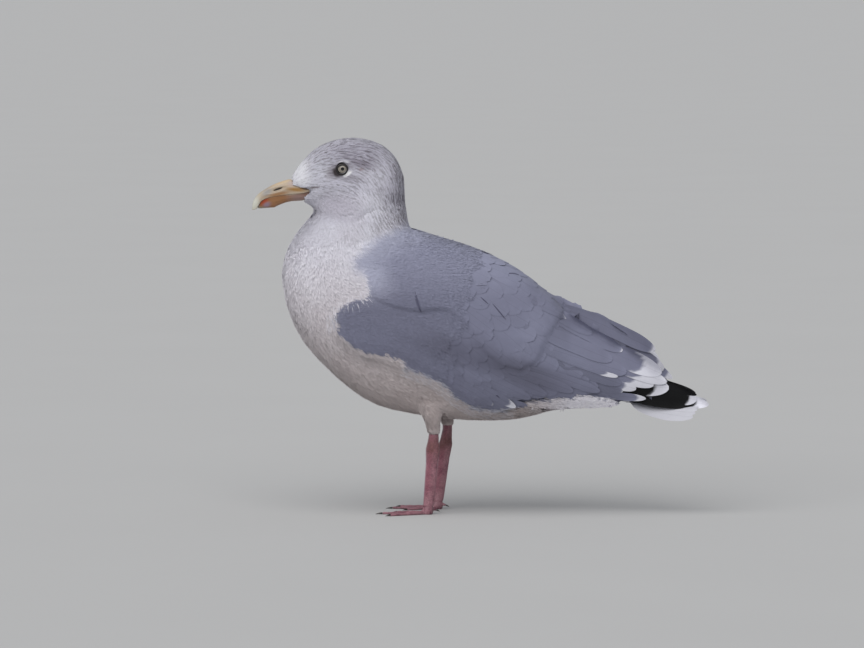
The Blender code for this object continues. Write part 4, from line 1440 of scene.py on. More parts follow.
@dataclass
class SoftCoat:
    """Fine tufts over head, neck, breast, belly, vent, thighs and the front of back and wings."""

    eye_margin: float = 0.0079
    face_reach: float = 0.021
    belly_start: float = -0.11
    vent_start: float = 0.095
    shoulder_end: float = -0.040
    shoulder_fade: float = 0.018
    shoulder_wander: float = 0.042
    shoulder_slant: float = 0.35
    border_wander: float = 0.018
    head_line: tuple = ((-187, 337), (-81, 349))
    neck_line: tuple = ((-214, 303), (-78, 322))
    wisp_band: float = 0.0055
    wisp_end: float = 0.03
    wing_front: tuple[float, float] = (-0.094, 0.216)
    front_end: float = -0.06
    thigh_top: float = 0.108
    hem: tuple[float, float] = (0.094, 0.104)
    low_wing: tuple[float, float, float] = (0.06, 0.012, 0.1215)
    middle_line: float = 0.0004
    face: Tufts = Tufts(26000, 0.0026, 0.00055, 0.0006, 0.0001, 6, 12, 20, 0.9, 1.02, 0.03)
    head: Tufts = Tufts(36000, 0.0042, 0.0008, 0.0009, 0.00015, 6, 12, 21, 0.9, 1.02, 0.03)
    neck: Tufts = Tufts(36000, 0.0072, 0.0010, 0.0018, 0.0003, 6, 12, 22)
    breast: Tufts = Tufts(38000, 0.0105, 0.0014, 0.0022, 0.0004, 7, 12, 23)
    belly: Tufts = Tufts(34000, 0.0120, 0.0016, 0.0024, 0.0005, 8, 14, 24)
    vent: Tufts = Tufts(14000, 0.0125, 0.0017, 0.0022, 0.0005, 8, 14, 25)
    thighs: Tufts = Tufts(12000, 0.0095, 0.0012, 0.0018, 0.0006, 10, 16, 26)
    shoulder_left: Tufts = Tufts(30000, 0.0085, 0.0015, 0.0010, 0.0004, 3, 5, 27, 0.98, 1.03, 0.018)
    shoulder_right: Tufts = Tufts(30000, 0.0085, 0.0015, 0.0010, 0.0004, 3, 5, 28, 0.98, 1.03, 0.018)
    wisps: Tufts = Tufts(6000, 0.0130, 0.0007, 0.0012, 0.0006, 9, 12, 29, 0.95, 1.03, 0.02)
    wisp_lie: Lie = Lie(
        head=((-150, 245, -76), (-138, 243, -66), (-130, 252, -52), (-134, 270, -34), (-139, 285, -42)),
        neck=((-120, 304, -44), (-100, 317, -40), (-84, 326, -34), (-163, 226, -80)),
        breast=((-94, 172, -34), (-74, 158, -32), (-57, 149, -34), (-43, 139, -38), (-28, 124, -24)),
        belly=((-10, 114, -12), (20, 110, -6)), back=(), wing=(),
        thigh=((-45, 104, -78), (-45, 92, -88), (-30, 102, -76), (-62, 102, -74)),
    )

    def build(self, body: Body) -> list[Piece]:
        """Makes the soft pieces over the body.

        Args:
            body: the form that they lie on.

        Returns:
            The pieces.
        """
        surface = body.surface
        grey = surface.of_faces(body.markings.grey_share(surface.points))
        middle = surface.of_faces(surface.points)
        eyes = [np.array(sum(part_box(f"eye_{side.word}"), Vector())) / 2 for side in Side]
        from_eye = np.minimum.reduce([
            np.linalg.norm((middle - eye)[:, [0, 2]], axis=1) + 0.03 * (middle[:, 1] * eye[1] < 0)
            for eye in eyes
        ])
        areas = self.areas(body, middle, grey, from_eye)
        pieces = []
        for name, shares in areas.items():
            tufts: Tufts = getattr(self, name)
            shift = (lambda points: self.parted(points, eyes)) if name in ("head", "face") else None
            lie = self.wisp_lie if name == "wisps" else body.lie
            tint = self.wisp_tint(body) if name == "wisps" else body.markings.body
            piece = tufts.mesh(f"coat_{name}", surface, lie, shares * (from_eye > self.eye_margin),
                               tint, body.unwrap, shift)
            piece.data.materials.append(DownFinish().material())
            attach(piece, "root")
            pieces.append(piece)
        return pieces

    def areas(self, body: Body, middle: Array, grey: Array, from_eye: Array) -> dict[str, Array]:
        """How dense each piece of the soft coat is on each face of the form."""
        x, y, z = middle.T
        white = 1 - grey
        wander = self.border_wander * (value_noise(middle, 0.004, 12) - 0.5)
        front = x < self.front_end
        head = front & (self.above(middle, *self.head_line) + wander > 0)
        face = head & (from_eye < self.face_reach)
        neck = front & ~head & (self.above(middle, *self.neck_line) + wander > 0)
        on_thigh = body.is_part("thigh_left", "thigh_right")[body.surface.triangles].all(1)
        thigh = on_thigh & (z < self.thigh_top)
        past, off, below = self.low_wing
        rest = ~head & ~thigh & ~neck & ~((x > past) & (z < below) & (np.abs(y) > off))
        before_belly, before_vent = x < self.belly_start, x < self.vent_start
        along = x + self.shoulder_wander * (value_noise(middle, 0.011, 13) - 0.5)
        along = along - self.shoulder_slant * (z - 0.22)
        shoulder = 1 - smoothstep(self.shoulder_end, self.shoulder_end + self.shoulder_fade, along)
        band = np.abs(body.markings.depth(middle) + 0.5 * self.wisp_band) < self.wisp_band
        bare = (x < self.wing_front[0]) & (z < self.wing_front[1])
        rim = (band & (x < self.wisp_end)) * np.where(bare, 0.0, 1 - 0.6 * body.markings.soft_border(middle))
        hem = thigh & (z > self.hem[0]) & (z < self.hem[1])
        left = y <= self.middle_line
        return {
            "face": face * white, "head": (head & ~face) * white, "neck": neck * white,
            "thighs": thigh * white, "breast": (rest & before_belly) * white,
            "belly": (rest & ~before_belly & before_vent) * white,
            "vent": (rest & ~before_vent) * white,
            "shoulder_left": grey * shoulder * left, "shoulder_right": grey * shoulder * ~left,
            "wisps": rim * np.where(z < 0.19, 2.5, 0.6) + hem * 2.0,
        }

    @staticmethod
    def wisp_tint(body: Body) -> OfPlaces:
        """The colour of the wisps: the white of the plumage, and greyer at the mantle."""
        marks = body.markings

        def tint(points: Array) -> Array:
            """The colour at each place."""
            share = np.where(points[:, 2] < 0.106, 0.9, 0.5 + 0.3 * marks.soft_border(points))
            return mixed(linear(*marks.white), marks.body(points), share)

        return tint

    @staticmethod
    def above(points: Array, start: tuple[float, float], end: tuple[float, float]) -> Array:
        """How far places lie above a straight line of the side view."""
        (x0, z0), (x1, z1) = start, end
        return points[:, 2] - (z0 + (points[:, 0] / MM - x0) / (x1 - x0) * (z1 - z0)) * MM

    def parted(self, points: Array, eyes: list[Array]) -> Array:
        """Points pushed out from over the eyes, so that the plumage parts round them."""
        moved = points.copy()
        for eye in eyes:
            off = points - eye
            gap = np.hypot(off[:, 0], off[:, 2])
            over = (gap < self.eye_margin) & (points[:, 1] * eye[1] > 0)
            scale = self.eye_margin / np.maximum(gap[over], 1e-5)
            moved[over, 0] = eye[0] + off[over, 0] * scale
            moved[over, 2] = eye[2] + off[over, 2] * scale
        return moved


# ---------------------------------------------------------------- wings, tips and tail


@dataclass(frozen=True)
class Feather:
    """One named feather on the side view, in millimetres: its shaft's ends and half its width.

    White is how far its white tip reaches back, height how far it lies out from the form, bow
    how far its shaft bends upward, black whether it is black, and tone how light it is: below 1,
    painted shade of the slot or groove that the feather lies in.
    """

    root: tuple[float, float]
    tip: tuple[float, float]
    half: float
    white: float = 0.0
    height: float = 0.0
    bow: float = 0.0
    black: bool = False
    tone: float = 1.0


class Row:
    """Named feathers as arrays, ready to be laid."""

    def __init__(self, feathers: tuple[Feather, ...], steps: Array) -> None:
        """Reads the feathers and works out their shafts on the side view."""
        self.count = len(feathers)
        read = {one.name: np.array([getattr(feather, one.name) for feather in feathers])
                for one in fields(Feather)}
        roots, tips = read["root"] * MM, read["tip"] * MM
        bows = read["bow"][:, None] * MM
        self.halves, self.white = read["half"] * MM, read["white"] * MM
        self.heights = read["height"][:, None, None] * MM
        self.black, self.tone = read["black"], read["tone"]
        run = tips - roots
        square = unit(np.stack([-run[:, 1], run[:, 0]], axis=1))
        bend = (4 * steps * (1 - steps))[None, :, None]
        straight = roots[:, None] + run[:, None] * steps[None, :, None]
        self.shafts = straight + (square * bows)[:, None] * bend


@dataclass(frozen=True)
class VaneColours:
    """How a grey, black or white vane is coloured from its root to its tip, with painted shade at its root.
    """

    spread: float = 0.012
    fringe: float = 0.07
    # painted shade: how dark a vane is at its root, where the vane before it overlies it
    base: float = 0.90
    concave: float = 0.35
    tip_fringe: float = 0.90
    side_fringe: float = 0.84
    side_share: float = 0.6
    pale: float = 0.88
    edge: tuple[float, float] = (-0.0012, 0.0016)

    def __call__(self, marks: Markings, points: Array, coords: Array, halves: Array,
                 rng: Chance, row: Row | None = None) -> Array:
        """Colours vanes.

        Args:
            marks: the plumage's colours.
            points: (N, rows, columns, 3).
            coords: each point's place on its vane, shaped alike.
            halves: half of each vane's width.
            rng: the seeded source of chance.
            row: the named feathers, or None for plain grey ones.

        Returns:
            A colour for each point.
        """
        count = len(points)
        colour = marks.grey_tint(points.reshape(-1, 3)).reshape(points.shape)
        own = rng.normal(1.0, self.spread, count)
        if row is not None:
            colour = np.where(row.black[:, None, None, None], linear(*marks.black), colour)
            own = own * row.tone
        step = coords[..., 2]
        side = np.abs(coords[..., 1]) / halves[:, None, None]
        fringe = np.maximum(smoothstep(self.tip_fringe, 1.0, step),
                            self.side_share * smoothstep(self.side_fringe, 1.0, side))
        # a pale fringe at tip and sides, and painted shade towards the root
        shade = (1 + self.fringe * fringe) * (self.base + (1 - self.base) * smoothstep(0.1, 0.6, step))
        colour = colour * (own[:, None, None] * shade)[..., None]
        if row is not None:
            left = coords[:, -1, :, 0][:, None] - coords[..., 0]
            edge = row.white[:, None, None] * (1 - self.concave * (1 - side ** 2))
            share = smoothstep(*self.edge, edge - left) * (row.white > 0)[:, None, None]
            pale = self.pale * linear(*marks.white) * np.minimum(row.tone, 1.0)[:, None, None, None]
            colour = colour + (pale - colour) * share[..., None]
        return colour


@dataclass
class Wings:
    """The folded wings and the back: small shingled covers under a few named large feathers."""

    cover_sizes: tuple = (
        (-158, 220, 10, 3.6), (-150, 205, 11, 4.0), (-130, 200, 14, 5.0), (-128, 240, 14, 5.0),
        (-136, 283, 12, 4.4), (-115, 302, 13, 5.0), (-90, 318, 14, 5.4), (-95, 290, 17, 6.4),
        (-60, 312, 18, 6.8), (-100, 262, 20, 7.4), (-60, 275, 27, 9.4), (-95, 190, 17, 6.0),
        (-95, 225, 18, 6.4), (-60, 215, 23, 7.6), (-65, 180, 23, 6.8), (-25, 292, 27, 9.0),
        (-20, 255, 35, 12.0), (-20, 205, 34, 9.5), (-25, 165, 34, 8.0), (-25, 138, 26, 6.0),
        (20, 270, 36, 11.5), (25, 230, 42, 13.0), (25, 185, 44, 11.0), (20, 145, 38, 8.0),
        (65, 240, 40, 12.5), (70, 200, 46, 13.0), (75, 155, 44, 9.5), (120, 205, 48, 12.0),
        (120, 165, 46, 10.5), (180, 165, 40, 9.5),
    )
    gap_share: float = 1.25
    tries: int = 60000
    covers_start: float = -0.115
    covers_end: float = 0.118
    low_end: tuple[float, float] = (0.030, 0.142)
    right_covers_end: float = 0.150
    rise_behind: tuple = ((80, 0), (96, 1), (106, 3), (120, 6), (140, 10), (160, 13.5),
                          (178, 15), (202, 10), (214, 4), (226, 0))
    cover_seed: int = 40
    cover_lay_seed: int = 50
    large_seed: int = 60
    large_lay_seed: int = 70
    cover_root: float = 0.35
    cover_turn: float = 3.0
    cover_softness: float = 80.0
    large: tuple[Feather, ...] = (
        Feather((-92, 262), (-50, 232), 11, height=0.1), Feather((-84, 285), (-34, 262), 12, height=0.2),
        Feather((-70, 250), (-22, 220), 12, height=0.2), Feather((-58, 300), (-6, 282), 11, height=0.3),
        Feather((-52, 274), (-4, 246), 13, height=0.3), Feather((-40, 288), (13, 263), 12, height=0.45),
        Feather((-30, 240), (15, 205), 12, height=0.3), Feather((-22, 215), (24, 176), 11, height=0.25),
        Feather((-18, 262), (32, 224), 13.5, height=0.45), Feather((-2, 200), (47, 163), 10.5, height=0.3),
        Feather((0, 282), (46, 256), 10, height=0.5), Feather((2, 226), (50, 184), 12.5, height=0.45),
        Feather((8, 266), (60, 230), 13.5, height=0.6), Feather((16, 200), (66, 168), 11, height=0.4),
        Feather((26, 240), (83, 203), 14, height=0.7), Feather((36, 270), (84, 238), 9, height=0.7),
        Feather((44, 258), (96, 227), 9.5, height=0.9), Feather((58, 238), (100, 218.5), 4.8, 9, 2.6),
    )
    # thin dark vanes laid in the gaps between the large feathers: painted shade
    slits: tuple[Feather, ...] = (
        Feather((-71.5, 249), (-64.5, 226), 2.3, bow=-1.0, height=3.6),
        Feather((-0.5, 245), (10.5, 234.5), 1.1, height=1.6), Feather((8, 244), (30, 217.5), 1.2, height=1.6),
        Feather((30, 268.5), (45, 267.5), 1.3, bow=1.8, height=1.5),
        Feather((13.5, 138), (23.5, 130), 1.6, height=1.4),
    )
    gap_shade_colour: tuple = (78, 78, 98)
    colours: VaneColours = VaneColours()

    def build(self, body: Body) -> list[Piece]:
        """Makes the covers and the named large feathers of both sides."""
        pieces = []
        for side in Side:
            pieces.append(self.cover_piece(body, side))
            pieces.append(self.large_piece(body, side))
        for piece in pieces:
            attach(piece, "root")
        return pieces

    def cover_piece(self, body: Body, side: Side) -> Piece:
        """The small and middling feathers of the back and wing, shingled along the lie."""
        rng = np.random.default_rng(self.cover_seed + side.value)
        surface = body.surface
        grey = surface.of_faces(body.markings.grey_share(surface.points))
        middle = surface.of_faces(surface.points)
        own = middle[:, 1] * side.value > -0.0004
        end = self.covers_end if side is Side.LEFT else self.right_covers_end
        end_at = end + 0.25 * (middle[:, 2] - 0.2)
        shares = (grey > 0.5) * own * (middle[:, 0] < end_at) * (middle[:, 0] > self.covers_start)
        shares = shares * ~((middle[:, 0] > self.low_end[0]) & (middle[:, 2] < self.low_end[1]))
        roots, _, _ = surface.scatter(shares.astype(float), self.tries, rng)
        roots = roots[rng.permutation(len(roots))]
        lengths, halves = (read_off(self.cover_sizes, roots, self.cover_softness) * MM).T
        kept = spaced_out(roots, halves * self.gap_share)
        roots, lengths, halves = roots[kept], lengths[kept], halves[kept]
        vanes = Vanes(rows=11, columns=7, tip=Tip.ROUND, sink=0.0011, rise=0.0003, tilt=0.0, camber=0.00025)
        turn = rng.normal(0, self.cover_turn, len(roots))
        start = roots - body.lie(*surface.snap(roots)[:2]) * (lengths * self.cover_root)[:, None]
        shafts = traced(surface, body.lie, start, lengths, vanes.steps, turn)
        points, coords = vanes.grid(surface, shafts, halves, self.cover_lay_seed + side.value)
        colours = self.colours(body.markings, points, coords, halves, rng)
        return vanes.piece(f"covers_{side.word}", points, coords, colours)

    def large_piece(self, body: Body, side: Side) -> Piece:
        """The large shoulder feathers of one side, and thin dark vanes in the gaps between them as painted
        shade.
        """
        rng = np.random.default_rng(self.large_seed + side.value)
        laid = []
        for feathers, tip, lift in ((self.large, Tip.ROUND, 0.30), (self.slits, Tip.SLIT, 0.42)):
            vanes = Vanes(rows=14, columns=9, tip=tip, sink=0.0012, rise=0.0003, tilt=0.0, camber=0.0004)
            row = Row(feathers, vanes.steps)
            places = body.surface.from_side(row.shafts.reshape(-1, 2), side).reshape(row.count, -1, 3)
            points, coords = vanes.grid(body.surface, places, row.halves, self.large_lay_seed)
            _, normals, _ = body.surface.snap(points)
            points = points + normals * (lift * row.heights[..., None])
            colours = self.colours(body.markings, points, coords, row.halves, rng, row)
            if tip is Tip.SLIT:
                # painted shade: the gap vanes are darkest along their middles
                rim = 0.8 * np.linspace(-1, 1, vanes.columns)[:, None] ** 2
                colours = linear(*self.gap_shade_colour) * (1 - rim) + colours * rim
            laid.append((points, coords, colours))
        points, coords, colours = (np.concatenate(parts) for parts in zip(*laid))
        return vanes.piece(f"large_feathers_{side.word}", points, coords, colours)


@dataclass
class WingEnds:
    """The long feathers of the folded wings: tertials, secondaries and primaries, with white tips.

    They lie on a sheet over the rear of each wing and its blade. The right wing's own lie as
    much higher as that wing is carried.
    """

    # feathers with a tone below 1 are painted darker, as painted shade where they lie under others
    near: tuple[Feather, ...] = (
        Feather((110, 146), (214.5, 140.5), 10.5, 24, -0.5, 0, True),
        Feather((-62, 160), (-4, 123), 5.5, 0, 0.6), Feather((-48, 160), (16, 122), 5.5, 1, 0.75),
        Feather((-30, 160), (41.5, 119), 5.0, 12, 0.9), Feather((-8, 160), (58, 129), 5.5, 0, 1.05),
        Feather((12, 160), (76, 133.5), 5.5, 0, 1.2), Feather((38, 162), (106, 137), 5.6, 0, 1.35),
        Feather((56, 164), (136, 137), 5.6, 0, 1.5),
        Feather((98, 137), (188, 128.5), 4.4, 14, 0.3, 0, False, 0.88),
        Feather((80, 160), (162, 137), 7, 2, 0.2, 0, False, 0.80),
        Feather((92, 163), (177, 139.5), 6.5, 20, 0.45), Feather((95, 173), (197, 143.5), 7.5, 36, 0.7),
        Feather((70, 176), (160, 145), 7, 0, 0.95, 0, False, 0.84),
        Feather((69, 183), (156, 153.5), 4.6, 20, 1.5),
        Feather((80, 192), (212, 147), 8.5, 44, 1.4, 0, False, 0.95),
        Feather((62, 190), (166, 158), 9, 0, 1.65), Feather((70, 214), (206, 157), 12, 34, 1.9),
        Feather((52, 212), (150, 172), 9, 0, 2.1), Feather((66, 231), (162, 182.5), 8, 2.5, 2.3),
        Feather((60, 240), (128, 202), 7, 0, 2.5),
    )
    blades: tuple[Feather, ...] = (
        Feather((178, 128), (259, 121.5), 6.6, 21, -2.0, 1.0, True),
        Feather((172, 127), (233, 120.0), 4.8, 0, -1.6, 0.0, True),
        Feather((152, 146), (246, 126.5), 10.0, 13, -1.5, 1.0, True),
        Feather((154, 160), (246, 132.5), 4.2, 0, -1.3, 0.5, True, 1.5),
    )
    # the far wing's tertials, toned darker as painted shade of the groove between the wings
    far: tuple[Feather, ...] = (
        Feather((88, 232), (219, 151), 7.0, 11, -2.8, 1.0, False, 0.92),
        Feather((84, 218), (209.5, 161), 10.5, 14, -1.9, 2.0, False, 0.80),
        Feather((84, 222), (166, 186), 10.0, 0, -1.0, 4.0, False, 0.66),
        Feather((84, 235), (199.5, 182.5), 9.0, 7, 0.0, 2.2, False, 0.95),
    )
    root_sink: float = 0.0016
    far_blade_out: float = 0.0010
    camber: float = 0.00015
    colours: VaneColours = VaneColours(0.015, 0.10, 0.92)
    sheet: tuple = ((-0.070, 0.100), (0.275, 0.262))
    saddle_sheet: tuple = ((0.078, 0.130), (0.226, 0.250))
    saddle_stations: tuple[float, float, float] = (0.080, 0.222, 0.004)
    saddle_rows: int = 9
    saddle_bend: float = 1.4

    def build(self, body: Body, wings: Wings, nodes: Solids) -> list[Piece]:
        """Makes the long feathers of both wings, in place of the two blades.

        Args:
            body: the form and its markings.
            wings: the rest of the wings.
            nodes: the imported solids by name.

        Returns:
            The pieces.
        """
        pieces = []
        for side in Side:
            blade = Surface(*arrays_of(nodes[f"primaries_{side.word}"]))
            wing = Surface(*arrays_of(nodes[f"wing_{side.word}"]))
            sheet = SideSheet([wing, blade], side, *self.sheet, rounds=120)
            lift = np.array(wings.rise_behind, float) * MM if side is Side.RIGHT else None
            pieces.append(self.laid(f"long_feathers_{side.word}", self.near, sheet, side, lift, body))
            tip = self.laid(f"wing_tip_{side.word}", self.blades, sheet, side, None, body,
                            self.far_blade_out if side is Side.RIGHT else 0.0)
            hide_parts(f"primaries_{side.word}")
            pieces.append(tip)
        pieces.append(self.laid("far_tertials", self.far, self.saddle(nodes), Side.LEFT, None, body))
        for piece in pieces:
            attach(piece, "root")
        return pieces

    def saddle(self, nodes: Solids) -> SideSheet:
        """A sheet from the right wing's ridge down to the groove behind the left wing's own ridge."""
        ridges = []
        stations = np.arange(*self.saddle_stations)
        for side in Side:
            wing = Surface(*arrays_of(nodes[f"wing_{side.word}"]))
            ridges.append(np.array([self.top(wing, x) for x in stations.tolist()]))
        near, far = ridges
        low = np.minimum(near[:, 1], far[:, 1] - 0.004)
        shares = np.linspace(0, 1, self.saddle_rows)[:, None]
        x = np.broadcast_to(stations, (self.saddle_rows, len(stations)))
        z = far[:, 1] + 0.0006 + (low - 0.012 - far[:, 1]) * shares
        y = far[:, 0] - 0.0012 + (near[:, 0] - 0.006 - far[:, 0]) * shares ** self.saddle_bend
        points = np.stack([x, y, z], axis=-1)
        surface = Surface(points.reshape(-1, 3), sheet_faces(*points.shape[:2]))
        return SideSheet([surface], Side.LEFT, *self.saddle_sheet, rounds=60)

    @staticmethod
    def top(wing: Surface, x: float) -> tuple[float, float]:
        """The (y, z) of a wing's highest place at this x."""
        down = Vector((0, 0, -1))
        best = (0.0, 0.0)
        for y in np.linspace(-0.03, 0.03, 41).tolist():
            hit = wing.tree.ray_cast(Vector((x, y, 0.5)), down)[0]
            if hit is not None and hit[2] > best[1]:
                best = (y, hit[2])
        return best

    def laid(self, name: str, feathers: tuple[Feather, ...], sheet: SideSheet, side: Side,
             lift: Array | None, body: Body, further: float = 0.0) -> Piece:
        """Lays named feathers on a sheet, their widths as on the side view.

        Args:
            name: the piece's name.
            feathers: the feathers, the lowest first.
            sheet: the sheet they lie on.
            side: the side that they face.
            lift: rows of (x, rise) that carry them higher, or None.
            body: the form's markings.
            further: how much further out they all lie.

        Returns:
            The piece.
        """
        rng = np.random.default_rng(len(feathers) + side.value)
        vanes = Vanes(rows=34, columns=9, tip=Tip.LONG)
        row = Row(feathers, vanes.steps)
        ways = unit(np.gradient(row.shafts, axis=1))
        square = np.stack([-ways[..., 1], ways[..., 0]], axis=-1)
        half = vanes.widths(row.halves)
        flat = row.shafts[:, :, None] + square[:, :, None] * (half[:, :, None] * vanes.sides)[..., None]
        if lift is not None:
            flat[..., 1] += np.interp(flat[..., 0], lift[:, 0], lift[:, 1])
        flat[..., 1] += VIEW_FALL * np.abs(sheet(flat))
        sunk = self.root_sink * (1 - vanes.steps)[None, :, None]
        out = row.heights - sunk - self.camber * vanes.sides ** 2
        depth = sheet(flat) + side.value * (out + further)
        points = np.stack([flat[..., 0], depth, flat[..., 1]], axis=-1)
        if side is Side.RIGHT:
            points = points[:, :, ::-1]
        coords = vanes.coords(row.shafts, half)
        colours = self.colours(body.markings, points, coords, row.halves, rng, row)
        return vanes.piece(name, points, coords, colours)


@dataclass
class Tail:
    """Twelve white tail feathers, fanned over the arched tail, the middle pair on top."""

    count: int = 12
    root_x: float = 0.150
    root_share: float = 0.55
    half: float = 0.0085
    stack: float = 0.00035
    rounding: float = 0.009
    side_margin: float = 0.004
    # painted shade: the white tail feathers are coloured darker than white, lighter towards their tips
    tone: float = 0.62
    tip_tone: float = 0.06

    def build(self, body: Body, nodes: Solids) -> Piece:
        """Makes the tail in place of its plate."""
        rng = np.random.default_rng(95)
        plate = Surface(*arrays_of(nodes["tail"]))
        low, high = (np.array(corner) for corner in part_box("tail"))
        vanes = Vanes(rows=18, columns=7, tip=Tip.LONG, sink=0.0003, rise=0.0002,
                      tilt=0.0003, camber=0.0003, hug=0.006)
        spread = (np.arange(self.count) - (self.count - 1) / 2) / ((self.count - 1) / 2)
        steps = vanes.steps
        end_x = high[0] - self.rounding * spread ** 2
        x = self.root_x + (end_x - self.root_x)[:, None] * steps[None]
        wide = (high[1] - self.side_margin) * (self.root_share + (1 - self.root_share) * steps)
        y = spread[:, None] * wide[None]
        down = Vector((0, 0, -1))
        places = []
        for place_x, place_y in zip(x.ravel().tolist(), y.ravel().tolist()):
            hit = plate.tree.ray_cast(Vector((place_x, place_y, 0.3)), down)[0]
            if hit is None:
                hit = plate.tree.find_nearest(Vector((place_x, place_y, low[2] * 0.3 + high[2] * 0.7)))[0]
            places.append((place_x, place_y, hit[2]))
        shafts = np.array(places).reshape(self.count, -1, 3)
        halves = np.full(self.count, self.half)
        points, coords = vanes.grid(plate, shafts, halves, 96)
        points[..., 2] += ((1 - np.abs(spread)) * self.count / 2 * self.stack)[:, None, None]
        own = rng.normal(1.0, 0.02, self.count)[:, None, None, None]
        # painted shade: white darkened to tone, and lighter by tip_tone towards the tips
        colour = linear(*body.markings.white) * own * (self.tone + self.tip_tone * coords[..., 2:3])
        piece = vanes.piece("tail_feathers", points, coords, colour)
        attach(piece, "root")
        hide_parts("tail")
        return piece


# ---------------------------------------------------------------- bill, eyes, legs


@dataclass(frozen=True)
class HornFinish(Finish):
    """Smooth horn with the piece's own colours, faint growth lines and a low polish."""

    name: str
    roughness: float = 0.42
    coat: float = 0.15
    grain: float = 420.0
    amount: float = 0.14
    bump: float = 0.12
    bump_depth: float = 0.0004
    stretch: tuple[float, float, float] = (0.35, 1.0, 1.0)
    wear: float = 0.25
    coat_roughness: float = 0.25

    def shade(self, nodes: Nodes, shader: Node) -> None:
        """Feeds the shader with the horn's colour, its wear and its growth lines."""
        mottle = nodes.mottle(self.grain, self.amount, self.stretch)
        height = mottle.outputs["Height"]
        worn = nodes.math("MULTIPLY", height, self.wear)
        nodes.fill(shader, {
            "Base Color": nodes.scaled(nodes.layer("tint", "Color"), mottle.outputs["Factor"]),
            "Roughness": nodes.math("ADD", worn, self.roughness - 0.12),
            "Normal": nodes.bump(height, self.bump, self.bump_depth),
            "Coat Weight": self.coat,
            "Coat Roughness": self.coat_roughness,
        })


@dataclass
class Bill:
    """The closed bill: two halves of horn with nostril slits, gonys and worn edges."""

    voxel: float = 0.00045
    rounds: int = 10
    closing: float = 0.0004
    tone: float = 0.80
    upper_ground: tuple = (186, 168, 146)
    lower_ground: tuple = (160, 112, 70)
    # the nostrils: cut in as holes, and painted dark inside as their shade
    nostril: Spot = Spot((-226.2, 365.3), (5.4, 0.95), (34, 22, 18), 18)
    nostril_depth: float = 0.0016
    groove: Spot = Spot((-229, 364.0), (12.0, 2.6), (0, 0, 0), 14)
    groove_depth: float = 0.0004
    upper_spots: tuple[Spot, ...] = (
        # painted highlight along the culmen's ridge
        Spot((-223, 374.0), (18, 3.6), (216, 190, 152), 14, 0.8),
        Spot((-246, 364.0), (14, 3.4), (206, 194, 166), 42, 0.7),
        Spot((-238.5, 361.6), (6.5, 4.2), (150, 150, 152), 28, 0.75),
        Spot((-205, 364.8), (12.5, 2.8), (166, 120, 52), -4),
        Spot((-208, 368.2), (11.0, 1.2), (206, 178, 146), -8, 0.8),
        Spot((-226, 359.4), (14.0, 2.4), (160, 112, 64), 12, 0.9),
        Spot((-190, 365.6), (9.0, 1.8), (104, 76, 60), 0, 0.8),
        Spot((-210, 372.0), (5.5, 4.0), (184, 162, 160), 30, 0.7),
        Spot((-252.5, 349.0), (5.5, 10.5), (214, 214, 202), -14, 0.95),
    )
    lower_spots: tuple[Spot, ...] = (
        Spot((-203, 356.0), (13.0, 6.0), (152, 124, 118), 0, 0.9),
        Spot((-192, 360.6), (7.0, 2.6), (128, 96, 88), 10, 0.8),
        Spot((-206, 360.2), (10.0, 1.3), (196, 182, 160), 10, 0.8),
        Spot((-242.6, 352.4), (6.6, 5.4), (176, 66, 14), 30),
        Spot((-238.4, 347.6), (5.2, 3.2), (160, 136, 152), 20, 0.95),
        Spot((-249.0, 345.0), (2.4, 3.4), (178, 172, 154), 0, 0.9),
        Spot((-244.0, 344.2), (5.0, 1.5), (160, 152, 134), 0, 0.7),
        Spot((-229.5, 346.6), (6.0, 3.0), (168, 114, 76), -20, 0.7),
    )

    def build(self, nodes: Solids) -> list[Piece]:
        """Makes both halves in place of the plain ones."""
        upper = self.half(nodes["bill_upper"], "upper_bill", self.upper_ground, self.upper_spots, True)
        lower = self.half(nodes["bill_lower"], "lower_bill", self.lower_ground, self.lower_spots, False)
        return [upper, lower]

    def half(self, node: Piece, name: str, ground: tuple, spots: tuple[Spot, ...],
             nostrils: bool) -> Piece:
        """One half of the bill, finely meshed, cut and coloured."""
        form = joined([node], self.voxel, 0.0, self.rounds)
        points = form.points
        colour = np.tile(linear(*ground), (len(points), 1))
        for spot in spots:
            colour = mixed(colour, linear(*spot.colour), spot.share(points, 0.2, 1.45))
        colour = colour * self.tone
        facing = form.normals[:, 2] * (-1 if nostrils else 1)
        points = points + form.normals * (self.closing * smoothstep(0.3, 0.8, facing))[:, None]
        if nostrils:
            hole = self.nostril.share(points) * (np.abs(form.normals[:, 1]) > 0.3)
            groove = self.groove.share(points) * np.abs(form.normals[:, 1])
            depth = hole * self.nostril_depth + groove * self.groove_depth
            points = points - form.normals * depth[:, None]
            # painted shade inside the nostril holes
            colour = mixed(colour, linear(*self.nostril.colour), smoothstep(0.35, 0.8, hole))
        piece = mesh_object(name, points, form.triangles)
        paint(piece, "tint", colour)
        piece.data.materials.append(HornFinish("polished_bill").material())
        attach(piece, "root")
        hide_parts(node.name)
        return piece


